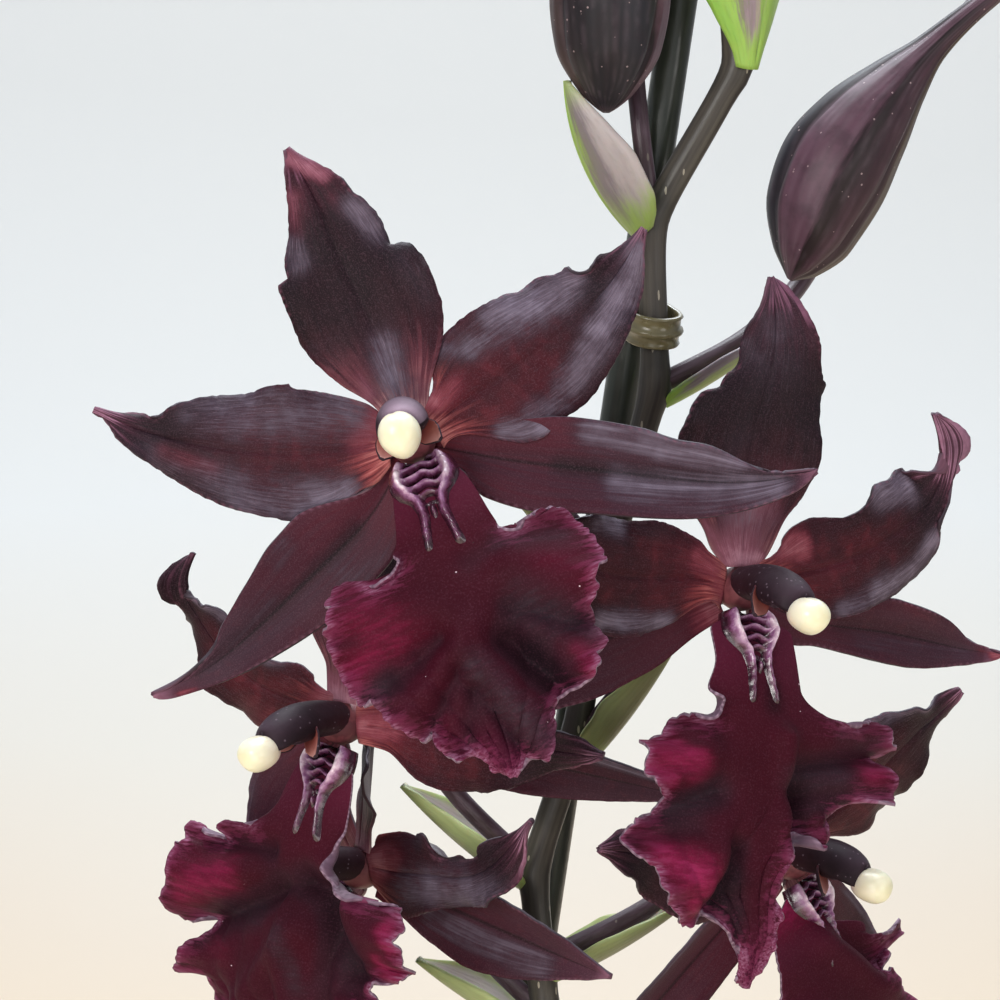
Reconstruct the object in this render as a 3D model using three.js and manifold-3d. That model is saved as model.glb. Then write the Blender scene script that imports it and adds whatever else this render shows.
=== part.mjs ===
// Potted oncostele orchid: a plain pot of bark, a row of pseudobulbs with strap leaves, and one
// staked flower stem with open blooms and buds.
// Millimetres, +Z up. The origin is the middle of the pot's base, and the blooms face -Y.

import * as THREE from 'three';
import { mergeVertices } from 'three/addons/utils/BufferGeometryUtils.js';
import Module from 'manifold-3d';

const wasm = await Module();
wasm.setup();
const { Manifold, Mesh: SolidMesh } = wasm;

// Driving dimensions

const FIT = 0.3; // clearance between pieces that rest on each other
const SEED = 41;

const POT = {
  height: 110, base: 45, belly: 57, rim: 60, rimHeight: 13, wall: 2.2, floor: 2.5,
  holes: 4, hole: 4, holeCircle: 27, sides: 32,
};
const BARK = { top: 94, chips: 25, chipLong: 15, chipThick: 3.6 };
const STAKE = { radius: 2.1, foot: [-32.2, 4.5, 15], top: [49.2, 4.5, 588], sides: 10 };
const CLIP = { heights: [522.3, 300], inner: 2.6, wall: 0.8, ridge: 1.45, below: 2.3, above: 2.9, lean: 12 };

// Pseudobulbs from the oldest to the newest: centre on the bark, height, half width, half depth, turn
const BULBS = [
  { at: [20, 30], height: 50, wide: 16, deep: 10.2, turn: 14 },
  { at: [13, 6], height: 59, wide: 18, deep: 11.2, turn: -8 },
  { at: [5, -18], height: 67, wide: 19, deep: 11.4, turn: 6 },
  { at: [-4, -40], height: 44, wide: 13, deep: 8, turn: -12 },
];
const BULB_FOOT = 93;
const BULB_SOCKET = { size: 0.95, height: 14 };
const RHIZOME = { radius: 4.6, level: 93.5, ends: [[27, 46], [-7, -50]] };
const ROOT = { radius: 1.5, hop: 7, dive: 12 };

// Leaves: the bulb each grows on, from its top or its side, the way it leans, length and half width
const LEAVES = [
  { bulb: 0, from: 'top', shift: 0, heading: 62, length: 215, half: 15, lean: 20, arch: 62 },
  { bulb: 1, from: 'top', shift: 4.4, heading: 18, length: 262, half: 17, lean: 16, arch: 74 },
  { bulb: 1, from: 'top', shift: -4.4, heading: 132, length: 250, half: 16, lean: 24, arch: 66 },
  { bulb: 2, from: 'top', shift: 4.4, heading: -28, length: 285, half: 18, lean: 15, arch: 78 },
  { bulb: 2, from: 'top', shift: -4.4, heading: 222, length: 276, half: 17.5, lean: 22, arch: 72 },
  { bulb: 2, from: 'side', shift: 0.905, heading: -4, length: 220, half: 15.5, lean: 34, arch: 58 },
  { bulb: 3, from: 'top', shift: 3.4, heading: -58, length: 236, half: 15, lean: 14, arch: 80 },
  { bulb: 3, from: 'top', shift: -3.4, heading: 196, length: 226, half: 14.5, lean: 20, arch: 76 },
  { bulb: 3, from: 'side', shift: 0.915, heading: -22, length: 172, half: 13.5, lean: 38, arch: 60 },
  { bulb: 3, from: 'side', shift: -1, heading: 214, length: 160, half: 13, lean: 42, arch: 56 },
];

// The flower stem: its lower part, then the joints of its zigzag from the lowest bloom up
const STEM_FOOT = [[-13.5, -12, 86], [-14.5, -11.5, 100], [-17.5, -10.5, 124], [-15, -8, 160],
  [-8, -2.5, 204], [0.8, -1.2, 250], [8.2, -1, 300], [15.5, -1.3, 350], [23, -2.5, 402]];
const JOINTS = {
  d: [29.5, -4, 438.6],
  e: [29, -4, 445.3],
  c: [28.1, -3.5, 456.7],
  b: [32.8, -3, 471.7],
  a: [36.7, -2, 494.5],
  right: [42.4, -1, 515.3],
  left: [41.9, -1, 534.9],
  high: [51.7, -1, 552.8],
  small: [49.5, 0, 571],
  smaller: [55, 1, 587],
  last: [53.2, 2, 600],
};
const STEM_TIP = [55.6, 2.4, 609];
const STEM_RADIUS = { foot: 2.6, clip: 1.7, tip: 0.7, joint: 1.2 };

// Outlines of the blades, from foot to tip: share of the length, then the two half widths
const DORSAL = [[0, 2.4, 2.4], [0.12, 2.7, 2.7], [0.28, 6.2, 6.2], [0.43, 8.2, 8.2], [0.54, 7.6, 8.2],
  [0.61, 6.2, 7.1], [0.67, 5.5, 5.2], [0.77, 4.3, 4.6], [0.88, 2.4, 2.8], [1, 0.35, 0.35]];
const PETAL = [[0, 2.6, 2.6], [0.12, 3, 3.2], [0.22, 5.2, 6.2], [0.33, 6.6, 7.8], [0.44, 6.8, 8.2],
  [0.58, 5.8, 7], [0.72, 4.2, 4.9], [0.8, 2.6, 3.2], [0.88, 1.9, 2.2], [1, 0.35, 0.35]];
const LATERAL = [[0, 2.6, 2.6], [0.1, 3.2, 3.2], [0.28, 4.9, 4.9], [0.45, 5.6, 5.6], [0.6, 5.1, 5.1],
  [0.72, 4, 4], [0.85, 2.2, 2.2], [0.93, 1.1, 1.1], [1, 0.35, 0.35]];
// The lip's rows curve, so its second number is the share of the length where a row meets the margin
const LIP_CLAW = [[0, 0, 3, 3], [0.1, 0.09, 3.2, 3.2], [0.2, 0.17, 3.4, 3.4], [0.28, 0.245, 4.4, 4.4],
  [0.34, 0.25, 8, 8], [0.4, 0.25, 12.2, 12.4], [0.47, 0.3, 15, 16]];
const LIP = [...LIP_CLAW, [0.56, 0.4, 16.2, 17.2], [0.66, 0.53, 15.6, 16.6], [0.76, 0.66, 13.6, 14.6],
  [0.86, 0.79, 10.2, 11], [0.94, 0.91, 5.6, 6], [1, 1, 1, 1]];
const LIP_POINTED = [...LIP_CLAW, [0.56, 0.42, 15.6, 16.4], [0.66, 0.56, 14.2, 14.6], [0.76, 0.69, 10.6, 11],
  [0.86, 0.83, 5.4, 5.6], [0.94, 0.93, 2.4, 2.4], [1, 1, 0.8, 0.8]];
const LEAF = [[0, 0.2, 0.2], [0.06, 0.22, 0.22], [0.2, 0.5, 0.5], [0.42, 0.97, 0.97], [0.55, 1, 1],
  [0.75, 0.78, 0.78], [0.9, 0.38, 0.38], [1, 0.05, 0.05]];
const BRACT = [[0, 0.5, 0.5], [0.2, 0.92, 0.92], [0.45, 1, 1], [0.7, 0.7, 0.7], [0.9, 0.28, 0.28],
  [1, 0.08, 0.08]];

// The parts of a bloom as they stand before a bloom bends them: degrees round the face from its top
const TEPALS = {
  dorsal: { at: 0, start: 2.5, length: 31.5, outline: DORSAL, cup: -0.12, keel: 0.1, ruffle: 0.9,
    waves: 2.4 },
  petal_l: { at: 66, start: 2.5, length: 31.5, outline: PETAL, cup: 0.12, keel: 0.05, ruffle: 1.1,
    waves: 2.6, mirror: true },
  petal_r: { at: -66, start: 2.5, length: 31.5, outline: PETAL, cup: 0.12, keel: 0.05, ruffle: 1.1,
    waves: 2.6, phase: 1.5 },
  lateral_l: { at: 114, start: 2.5, length: 39, outline: LATERAL, cup: 0.05, keel: 0.35, ruffle: 0.3,
    waves: 2, lift: -1.5 },
  lateral_r: { at: -114, start: 2.5, length: 39, outline: LATERAL, cup: 0.05, keel: 0.35, ruffle: 0.3,
    waves: 2, lift: -1.5 },
};
const LIP_BLADE = { at: 180, start: 3.3, length: 38, outline: LIP, tilt: 35, bend: -45, cup: -0.05,
  ruffle: 1.8, waves: 3.5, lift: 1.6, nu: 11, nv: 8, thick: 0.7 };
const TEPAL_GRID = { nu: 7, nv: 4, thick: 0.7 };
const SPINE = { steps: 40, tipFrom: 0.7 };
const HUB = 3.2;
const COLUMN = { length: 10.2, droop: 0.5, wing: 1.1 };
const CAP = { wide: 2.4, tall: 2.5, deep: 2.6 };
const CALLUS = { from: 1.2, to: 11.4, half: 2.4, height: 2.7 };

// Each bloom: its centre, the way it faces (turn to the right, upward tilt, roll) and its own bends
const BLOOMS = [
  { joint: 'a', at: [14.4, -27.1, 511.9], face: [-2, 10, 19], way: [[27, -5, 505], [17, -11, 510]], bends: {
    dorsal: { at: -5, sway: 21, tilt: 2, length: 31 },
    petal_l: { at: 76, sway: -18, length: 32, tilt: -2, bend: 2 },
    petal_r: { at: -76, sway: 19, length: 30.5 },
    lateral_l: { at: 127, sway: -22, length: 37.5, width: 0.88 },
    lateral_r: { at: -123, sway: 18, length: 42.5, width: 0.92 },
    lip: { at: 180.5, length: 36, width: 0.82, left: 1.24 } } },
  { joint: 'b', at: [51.6, -14.5, 493.3], face: [32, 2, -5], way: [[41, -5, 483]], bends: {
    dorsal: { sway: -4, width: 1.22, twist: -22, length: 32 },
    petal_r: { at: -77, sway: 14, length: 32, tilt: 6, sway_tip: 60 },
    petal_l: { at: 84, sway: -8, tilt: -2 },
    lateral_r: { at: -106, sway: 6, length: 40, width: 0.75 },
    lateral_l: { at: 112, sway: -6, tilt: -10 },
    lip: { at: 176, length: 42.5, width: 1.06, left: 1.08, outline: LIP_POINTED } } },
  { joint: 'c', at: [5.5, -9.8, 476.5], face: [-42, -2, 4], way: [[18, -3, 467]], bends: {
    dorsal: { at: -4, tilt: -5 },
    petal_l: { at: 47, tilt: 16, length: 28.5, twist_tip: 60 },
    petal_r: { at: -92, tilt: -15, sway: -6 },
    lateral_l: { at: 136, tilt: 7, length: 23 },
    lateral_r: { at: -106, tilt: -32, sway: -2, length: 41, width: 0.82 },
    lip: { at: 176, width: 1.16, left: 0.93 } } },
  { joint: 'd', at: [6.9, 3.4, 455], face: [-62, -2, -8], way: [[20, -1, 448]], bends: {
    dorsal: { at: 6, tilt: -6, length: 23, twist: -60 },
    petal_r: { at: -62, tilt: -20, sway: -10, length: 27, width: 1.12 },
    petal_l: { at: 62 },
    lateral_r: { at: -98, tilt: -30, length: 33 },
    lateral_l: { at: 130 },
    lip: { at: 180 } } },
  { joint: 'e', at: [59.5, -0.4, 457.3], face: [52, -2, 4], way: [[43, -1, 452]], bends: {
    dorsal: { at: 8, tilt: -12, length: 28 },
    petal_r: { at: -50, tilt: 24, length: 28 },
    petal_l: { at: 74, tilt: -15, length: 29 },
    lateral_l: { at: 130, tilt: -20, sway: 10 },
    lateral_r: { at: -140 },
    lip: { at: 182, outline: LIP_POINTED } } },
];

// Buds: joint, the stalk's way, base and tip of the bud, and its largest radius
const BUDS = [
  { joint: 'left', way: [[40.5, 0.5, 546], [39.5, 5, 560], [39.2, 4.6, 576], [38.4, 0.4, 584]],
    base: [37.2, -3.6, 578], tip: [36.3, -4, 547.4], radius: 6.9, stalk: 1.1 },
  { joint: 'right', way: [[53.3, 1, 520.9], [60.6, 8.2, 527.1], [69, 14.6, 540], [80, 15.5, 556],
    [87, 12.4, 563], [85, 8.4, 562.4]], base: [74.6, 5, 555.1], tip: [58.6, 2.3, 527.8],
    bow: [-5.4, -0.4, 2.4], radius: 6.9, stalk: 1.2 },
  { joint: 'high', way: [[53, -1.6, 560], [55.2, -2.6, 567.5]], base: [57.6, -3.4, 574],
    tip: [63.4, -6, 594.5], radius: 4.4, stalk: 1.1 },
  { joint: 'small', way: [[47, -2.5, 578]], base: [45.8, -3.4, 582], tip: [42.6, -5.2, 599], radius: 3.6,
    stalk: 0.9 },
  { joint: 'smaller', way: [[58, -0.5, 592]], base: [59.2, -1, 595], tip: [62, -2, 608], radius: 2.8,
    stalk: 0.8 },
  { joint: 'last', way: [[51, 1, 604]], base: [50.2, 0.6, 606], tip: [48.6, 0, 615], radius: 2.1,
    stalk: 0.7 },
];

// Bracts: joint, the way each points, its length and half width, and how far it opens from the stalk
const BRACTS = [
  { joint: 'd', along: [-22, 2, 12], length: 17, half: 4, colour: 'green' },
  { joint: 'e', along: [25, 3, 12], length: 18, half: 4, colour: 'green' },
  { joint: 'c', along: [-21, 2, 16], length: 19, half: 4.2, colour: 'green' },
  { joint: 'b', along: [14, -4, 19], length: 18, half: 4.2, colour: 'green' },
  { joint: 'a', along: [-16, -4, 16], length: 14, half: 3.8, colour: 'green' },
  { joint: 'right', along: [12, 1, 7], length: 17, half: 3.6, colour: 'mauve' },
  { joint: 'left', along: [-9, -4, 17], length: 20.5, half: 4.8, colour: 'green' },
  { joint: 'high', along: [1.5, -2, 18], length: 20, half: 6.4, open: 8, colour: 'green' },
  { joint: 'small', along: [-5, -4, 14], length: 12, half: 3.2, colour: 'green' },
];

const COLOURS = {
  tepal: { color: 0x35161f, roughness: 0.55 },
  lip: { color: 0x5c1730, roughness: 0.5 },
  cap: { color: 0xf3ecd2, roughness: 0.3 },
  bud: { color: 0x3a2530, roughness: 0.5 },
  stem: { color: 0x5a5238, roughness: 0.55 },
  green: { color: 0x9db565, roughness: 0.5 },
  mauve: { color: 0x7d6f78, roughness: 0.5 },
  leaf: { color: 0x4a6b2c, roughness: 0.45 },
  bulb: { color: 0x6f8a3c, roughness: 0.45 },
  rhizome: { color: 0x8a7a58, roughness: 0.8 },
  bark: { color: 0x5f3c24, roughness: 0.95 },
  pot: { color: 0x4b4f52, roughness: 0.6 },
  stake: { color: 0x1f2a24, roughness: 0.35 },
  clip: { color: 0x8d7d4b, roughness: 0.35, metalness: 0.4 },
};

// Small helpers

const group = new THREE.Group();
const V = (p) => new THREE.Vector3(...p);
const rad = THREE.MathUtils.degToRad;

function add(name, geometry, colour) {
  const material = new THREE.MeshStandardMaterial(COLOURS[colour]);
  const mesh = new THREE.Mesh(geometry, material);
  mesh.name = name;
  group.add(mesh);
}

function random(seed) {
  let state = seed;
  return () => {
    state = (state * 16807) % 2147483647;
    return state / 2147483647;
  };
}

function smooth(x) {
  const t = Math.min(1, Math.max(0, x));
  return t * t * (3 - 2 * t);
}

// Value of a smooth curve through rows of [share, values...], with no overshoot between the rows
function between(rows, share) {
  const last = rows.length - 1;
  const at = Math.min(rows[last][0], Math.max(rows[0][0], share));
  let i = 0;
  while (i < last - 1 && rows[i + 1][0] <= at) i += 1;
  const step = (k) => rows[k + 1][0] - rows[k][0];
  const rise = (k, c) => (rows[k + 1][c] - rows[k][c]) / step(k);
  const slope = (k, c) => {
    if (k === 0) return rise(0, c);
    if (k === last) return rise(last - 1, c);
    const before = rise(k - 1, c);
    const after = rise(k, c);
    return before * after > 0 ? (2 * before * after) / (before + after) : 0;
  };
  const t = (at - rows[i][0]) / step(i);
  return rows[i].slice(1).map((value, k) => {
    const c = k + 1;
    const next = rows[i + 1][c];
    return value * (2 * t ** 3 - 3 * t ** 2 + 1) + next * (3 * t ** 2 - 2 * t ** 3)
      + step(i) * (slope(i, c) * (t ** 3 - 2 * t ** 2 + t) + slope(i + 1, c) * (t ** 3 - t ** 2));
  });
}

// Solids

function solid(geometry) {
  const bare = geometry.index ? geometry : geometry.clone();
  bare.deleteAttribute('normal');
  bare.deleteAttribute('uv');
  const merged = mergeVertices(bare, 1e-4);
  return new Manifold(new SolidMesh({
    numProp: 3,
    vertProperties: new Float32Array(merged.attributes.position.array),
    triVerts: new Uint32Array(merged.index.array),
  }));
}

function geometryOf(manifold) {
  const mesh = manifold.getMesh();
  const geometry = new THREE.BufferGeometry();
  geometry.setAttribute('position', new THREE.BufferAttribute(mesh.vertProperties, 3));
  geometry.setIndex(new THREE.BufferAttribute(mesh.triVerts, 1));
  return geometry;
}

const fuse = (solids) => solids.reduce((all, one) => all.add(one));
const carve = (body, tools) => tools.reduce((left, tool) => left.subtract(tool), body);

function biggest(manifold) {
  const bodies = manifold.decompose();
  return bodies.reduce((best, body) => (body.volume() > best.volume() ? body : best));
}

function indexed(points, faces) {
  const geometry = new THREE.BufferGeometry();
  const numbers = points.flatMap((p) => [p.x, p.y, p.z]);
  geometry.setAttribute('position', new THREE.Float32BufferAttribute(numbers, 3));
  geometry.setIndex(faces.flat());
  return geometry;
}

// A closed skin over rings of equally many points, with a point at each end
function loft(rings) {
  const sides = rings[0].length;
  const middle = (ring) => ring.reduce((sum, p) => sum.add(p), new THREE.Vector3()).divideScalar(sides);
  const points = [...rings.flat(), middle(rings[0]), middle(rings[rings.length - 1])];
  const foot = rings.length * sides;
  const faces = [];
  for (let k = 0; k < sides; k += 1) {
    const next = (k + 1) % sides;
    for (let i = 0; i < rings.length - 1; i += 1) {
      const low = i * sides;
      const high = low + sides;
      faces.push([low + k, low + next, high + next], [low + k, high + next, high + k]);
    }
    faces.push([foot, next, k]);
    faces.push([foot + 1, foot - sides + k, foot - sides + next]);
  }
  return indexed(points, faces);
}

// A tube on a smooth curve through points: some steps to each point, and a radius at each ring
function tube(points, radius, stepsEach, sides) {
  const curve = new THREE.CatmullRomCurve3(points.map(V), false, 'centripetal');
  const steps = (points.length - 1) * stepsEach;
  const rings = [];
  let tangent = curve.getTangent(0);
  const normal = new THREE.Vector3(0.31, 0.83, 0.46).cross(tangent).normalize();
  for (let i = 0; i <= steps; i += 1) {
    const centre = curve.getPoint(i / steps);
    const next = curve.getTangent(i / steps);
    normal.applyQuaternion(new THREE.Quaternion().setFromUnitVectors(tangent, next));
    tangent = next;
    const binormal = new THREE.Vector3().crossVectors(tangent, normal);
    const size = radius(i / steps, i / stepsEach);
    rings.push(Array.from({ length: sides }, (_, k) => {
      const a = (2 * Math.PI * k) / sides;
      return centre.clone().addScaledVector(normal, size * Math.cos(a))
        .addScaledVector(binormal, size * Math.sin(a));
    }));
  }
  return loft(rings);
}

// Blades: a spine that leans, bends, sways and twists, and a thin waved sheet along it

function facing([az, el, roll]) {
  const a = rad(az);
  const e = rad(el);
  const z = new THREE.Vector3(Math.sin(a) * Math.cos(e), -Math.cos(a) * Math.cos(e), Math.sin(e));
  const x = new THREE.Vector3(Math.cos(a), Math.sin(a), 0).applyAxisAngle(z, rad(roll));
  const y = new THREE.Vector3().crossVectors(z, x);
  return { x, y, z };
}

function spine(blade, axes, centre) {
  const { steps, tipFrom } = SPINE;
  const a = rad(blade.at ?? 0);
  const t = axes.x.clone().multiplyScalar(-Math.sin(a)).addScaledVector(axes.y, Math.cos(a));
  const b = axes.x.clone().multiplyScalar(Math.cos(a)).addScaledVector(axes.y, Math.sin(a));
  const n = axes.z.clone();
  const p = centre.clone().addScaledVector(t, blade.start ?? 0).addScaledVector(n, blade.lift ?? 0);
  const tip = (u) => smooth((u - tipFrom) / (1 - tipFrom));
  const total = (u, name) => (blade[name] ?? 0) * u + (blade[`${name}_tip`] ?? 0) * tip(u);
  t.applyAxisAngle(b, rad(blade.tilt ?? 0));
  n.applyAxisAngle(b, rad(blade.tilt ?? 0));
  const frames = [{ p: p.clone(), t: t.clone(), b: b.clone(), n: n.clone() }];
  for (let k = 1; k <= steps; k += 1) {
    const part = (name) => rad(total(k / steps, name) - total((k - 1) / steps, name));
    const bend = part('bend');
    t.applyAxisAngle(b, bend);
    n.applyAxisAngle(b, bend);
    const sway = part('sway');
    t.applyAxisAngle(n, sway);
    b.applyAxisAngle(n, sway);
    const twist = part('twist');
    b.applyAxisAngle(t, twist);
    n.applyAxisAngle(t, twist);
    p.addScaledVector(t, blade.length / steps);
    frames.push({ p: p.clone(), t: t.clone(), b: b.clone(), n: n.clone() });
  }
  return frames;
}

function frameAt(frames, share) {
  const k = Math.min(1, Math.max(0, share)) * (frames.length - 1);
  const i = Math.min(Math.floor(k), frames.length - 2);
  const mix = (name) => frames[i][name].clone().lerp(frames[i + 1][name], k - i);
  return { p: mix('p'), t: mix('t'), b: mix('b'), n: mix('n') };
}

// A point of the blade's middle sheet: u runs from foot to tip, v from the left margin to the right
function sheetPoint(blade, frames, u, v) {
  const row = between(blade.outline, u);
  const side = Math.abs(v);
  const curved = row.length === 3;
  const along = curved ? u * (1 - side) + row[0] * side : u;
  const [left, right] = row.slice(-2);
  const half = (v < 0) !== Boolean(blade.mirror) ? left * (blade.left ?? 1) : right;
  const reach = half * (blade.width ?? 1);
  const { p, b, n } = frameAt(frames, along);
  const folded = (blade.keel ?? 0) + (blade.fold ?? 0) * (1 - smooth(u / 0.35));
  const section = reach * ((blade.cup ?? 0) * v * v + folded * (Math.sqrt(v * v + 0.02) - 0.1414));
  const free = smooth((u - 0.18) / 0.2) * (1 - 0.5 * smooth((u - 0.85) / 0.15));
  const phase = (blade.phase ?? 0) + (v < 0 ? 0 : 2.2);
  const ripple = Math.sin(2 * Math.PI * (blade.waves ?? 3) * u + phase);
  const wave = (blade.ruffle ?? 0) * free * side ** 2.5 * ripple;
  return p.addScaledVector(b, v * reach).addScaledVector(n, section + wave);
}

// Both faces of the sheet are split into the same triangles, half the thickness to each side
function bladeGeometry(blade, axes, centre) {
  const { nu, nv, thick } = blade;
  const frames = spine(blade, axes, centre);
  const sheet = [];
  for (let i = 0; i <= nu; i += 1) {
    for (let j = 0; j <= nv; j += 1) sheet.push(sheetPoint(blade, frames, i / nu, (2 * j) / nv - 1));
  }
  const id = (i, j) => i * (nv + 1) + j;
  const cells = [];
  for (let i = 0; i < nu; i += 1) {
    for (let j = 0; j < nv; j += 1) {
      const [p, q, r, s] = [id(i, j), id(i, j + 1), id(i + 1, j + 1), id(i + 1, j)];
      if (j < nv / 2) cells.push([p, q, r], [p, r, s]);
      else cells.push([p, q, s], [q, r, s]);
    }
  }
  const middle = indexed(sheet, cells);
  middle.computeVertexNormals();
  const normals = middle.attributes.normal;
  const shifted = (sign) => sheet.map((point, k) => point.clone().addScaledVector(
    new THREE.Vector3().fromBufferAttribute(normals, k), (sign * thick) / 2));
  const under = sheet.length;
  const rim = [];
  for (let j = 0; j < nv; j += 1) rim.push(id(0, j));
  for (let i = 0; i < nu; i += 1) rim.push(id(i, nv));
  for (let j = nv; j > 0; j -= 1) rim.push(id(nu, j));
  for (let i = nu; i > 0; i -= 1) rim.push(id(i, 0));
  const faces = cells.flatMap(([p, q, r]) => [[p, q, r], [p + under, r + under, q + under]]);
  rim.forEach((from, k) => {
    const to = rim[(k + 1) % rim.length];
    faces.push([from, from + under, to + under], [from, to + under, to]);
  });
  return indexed([...shifted(1), ...shifted(-1)], faces);
}

// Pot, and the holes in its floor

function potGeometry() {
  const { height, base, belly, rim, rimHeight, wall, floor, sides } = POT;
  const under = height - rimHeight;
  const profile = [[0, 0], [base, 0], [belly, under], [rim, under + 1], [rim, height], [rim - wall, height],
    [belly - wall, under - 2], [base - wall, floor], [0, floor]];
  let pot = solid(new THREE.LatheGeometry(profile.map((p) => new THREE.Vector2(...p)), sides)
    .rotateX(Math.PI / 2));
  for (let k = 0; k < POT.holes; k += 1) {
    const a = (2 * Math.PI * (k + 0.5)) / POT.holes;
    const drain = new THREE.CylinderGeometry(POT.hole, POT.hole, 4 * floor, 8).rotateX(Math.PI / 2);
    drain.translate(POT.holeCircle * Math.cos(a), POT.holeCircle * Math.sin(a), 0);
    pot = pot.subtract(solid(drain));
  }
  return geometryOf(pot);
}

// Pseudobulbs: flattened eggs, widest below the middle, cut flat at the top where the leaves grow

function bulbGeometry(bulb) {
  const profile = [[-0.02, 0.3], [0, 0.52], [0.12, 0.76], [0.3, 0.97], [0.45, 1], [0.65, 0.85], [0.85, 0.5],
    [1, 0.22]];
  const sides = 10;
  const rings = profile.map(([share, size]) => Array.from({ length: sides }, (_, k) => {
    const a = (2 * Math.PI * k) / sides;
    return new THREE.Vector3(
      bulb.wide * size * Math.cos(a),
      bulb.deep * size * Math.sin(a),
      share * bulb.height,
    );
  }));
  return loft(rings).rotateZ(rad(bulb.turn)).translate(...bulb.at, BULB_FOOT);
}

// The plain hole that a bulb stands in
function socketSolid(bulb) {
  const size = BULB_SOCKET.size;
  const socket = new THREE.CylinderGeometry(bulb.wide * size, bulb.wide * size, BULB_SOCKET.height, 10);
  socket.rotateX(Math.PI / 2).scale(1, bulb.deep / bulb.wide, 1).rotateZ(rad(bulb.turn));
  return solid(socket.translate(...bulb.at, BULB_FOOT - 0.02 * bulb.height - FIT + BULB_SOCKET.height / 2));
}

// The rhizome creeps under the row of bulbs and sends thick roots into the bark

function rhizomeSolid(grow = 0) {
  const level = (x, y) => [x, y, RHIZOME.level];
  const [back, front] = RHIZOME.ends;
  const row = [level(...back), ...BULBS.map((bulb) => level(...bulb.at)), level(...front)];
  const taper = (share) => RHIZOME.radius * (0.55 + 0.45 * smooth(Math.min(share, 1 - share) * 5)) + grow;
  const stem = solid(tube(row, taper, 1, 8));
  const roots = [];
  BULBS.slice(0, 3).forEach((bulb, k) => {
    (k === 1 ? [-1, 1] : [1 - k]).forEach((side) => {
      const out = new THREE.Vector3(side, 0, 0).applyAxisAngle(new THREE.Vector3(0, 0, 1), rad(20 * (k - 1)));
      const start = V(level(bulb.at[0] - 4, bulb.at[1] - 11.5));
      const reach = (far, up) => start.clone().addScaledVector(out, far).setZ(RHIZOME.level + up).toArray();
      const far = 17 - 2 * k;
      const way = [reach(0, 0), reach(far * 0.35, ROOT.hop * 0.6), reach(far * 0.8, ROOT.hop),
        reach(far * 1.15, 0), reach(far * 1.25, -ROOT.dive)];
      roots.push(solid(tube(way, () => ROOT.radius + grow, 1, 5)));
    });
  });
  return fuse([stem, ...roots]);
}

// Stake, and the flower stem with a stalk for each bloom and bud

function stakeSolid(grow = 0) {
  const ends = [V(STAKE.foot), V(STAKE.top)];
  const axis = ends[1].clone().sub(ends[0]);
  const rod = new THREE.CylinderGeometry(STAKE.radius + grow, STAKE.radius + grow, axis.length() + 2 * grow,
    STAKE.sides);
  const up = new THREE.Vector3(0, 1, 0);
  const turn = new THREE.Quaternion().setFromUnitVectors(up, axis.clone().normalize());
  rod.applyQuaternion(turn).translate(...ends[0].add(ends[1]).multiplyScalar(0.5).toArray());
  return solid(rod);
}

const jointPoints = Object.values(JOINTS);

// The stem tapers from its foot, keeps its girth through the blooms, thins above, and swells at a joint
function stemRadius(ring) {
  const { foot, clip, tip, joint } = STEM_RADIUS;
  const first = STEM_FOOT.length;
  const blooming = first + 6;
  if (ring < first) return foot + (clip - foot) * (ring / first);
  const upper = clip + (tip - clip) * smooth((ring - blooming) / 5);
  return Number.isInteger(ring) && ring < blooming + 4 ? upper * joint : upper;
}

function backOf(bloom) {
  const { z } = facing(bloom.face);
  return V(bloom.at).addScaledVector(z, -(HUB + FIT));
}

function stalkSolids(grow = 0) {
  const blooms = BLOOMS.map((bloom) => {
    const end = backOf(bloom);
    const { z } = facing(bloom.face);
    const before = end.clone().addScaledVector(z, -7).toArray();
    const way = [JOINTS[bloom.joint], ...bloom.way, before, end.toArray()];
    return tube(way, (share) => 1.15 + 0.35 * smooth((share - 0.5) * 2) + grow, 2, 6);
  });
  const buds = BUDS.map((bud) => {
    const away = V(bud.base).sub(V(bud.tip)).normalize();
    const end = V(bud.base).addScaledVector(away, FIT);
    const before = end.clone().addScaledVector(away, 2.5);
    const way = [JOINTS[bud.joint], ...bud.way, before.toArray(), end.toArray()];
    return tube(way, () => bud.stalk + grow, bud.way.length > 1 ? 2 : 1, 5);
  });
  return [...blooms, ...buds].map(solid);
}

function stemSolid(grow = 0) {
  const way = [...STEM_FOOT, ...jointPoints, STEM_TIP];
  const main = tube(way, (share, ring) => stemRadius(ring) + grow, 2, 6);
  return fuse([solid(main), ...stalkSolids(grow)]);
}

// Clips: a ridged band round stem and stake

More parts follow.
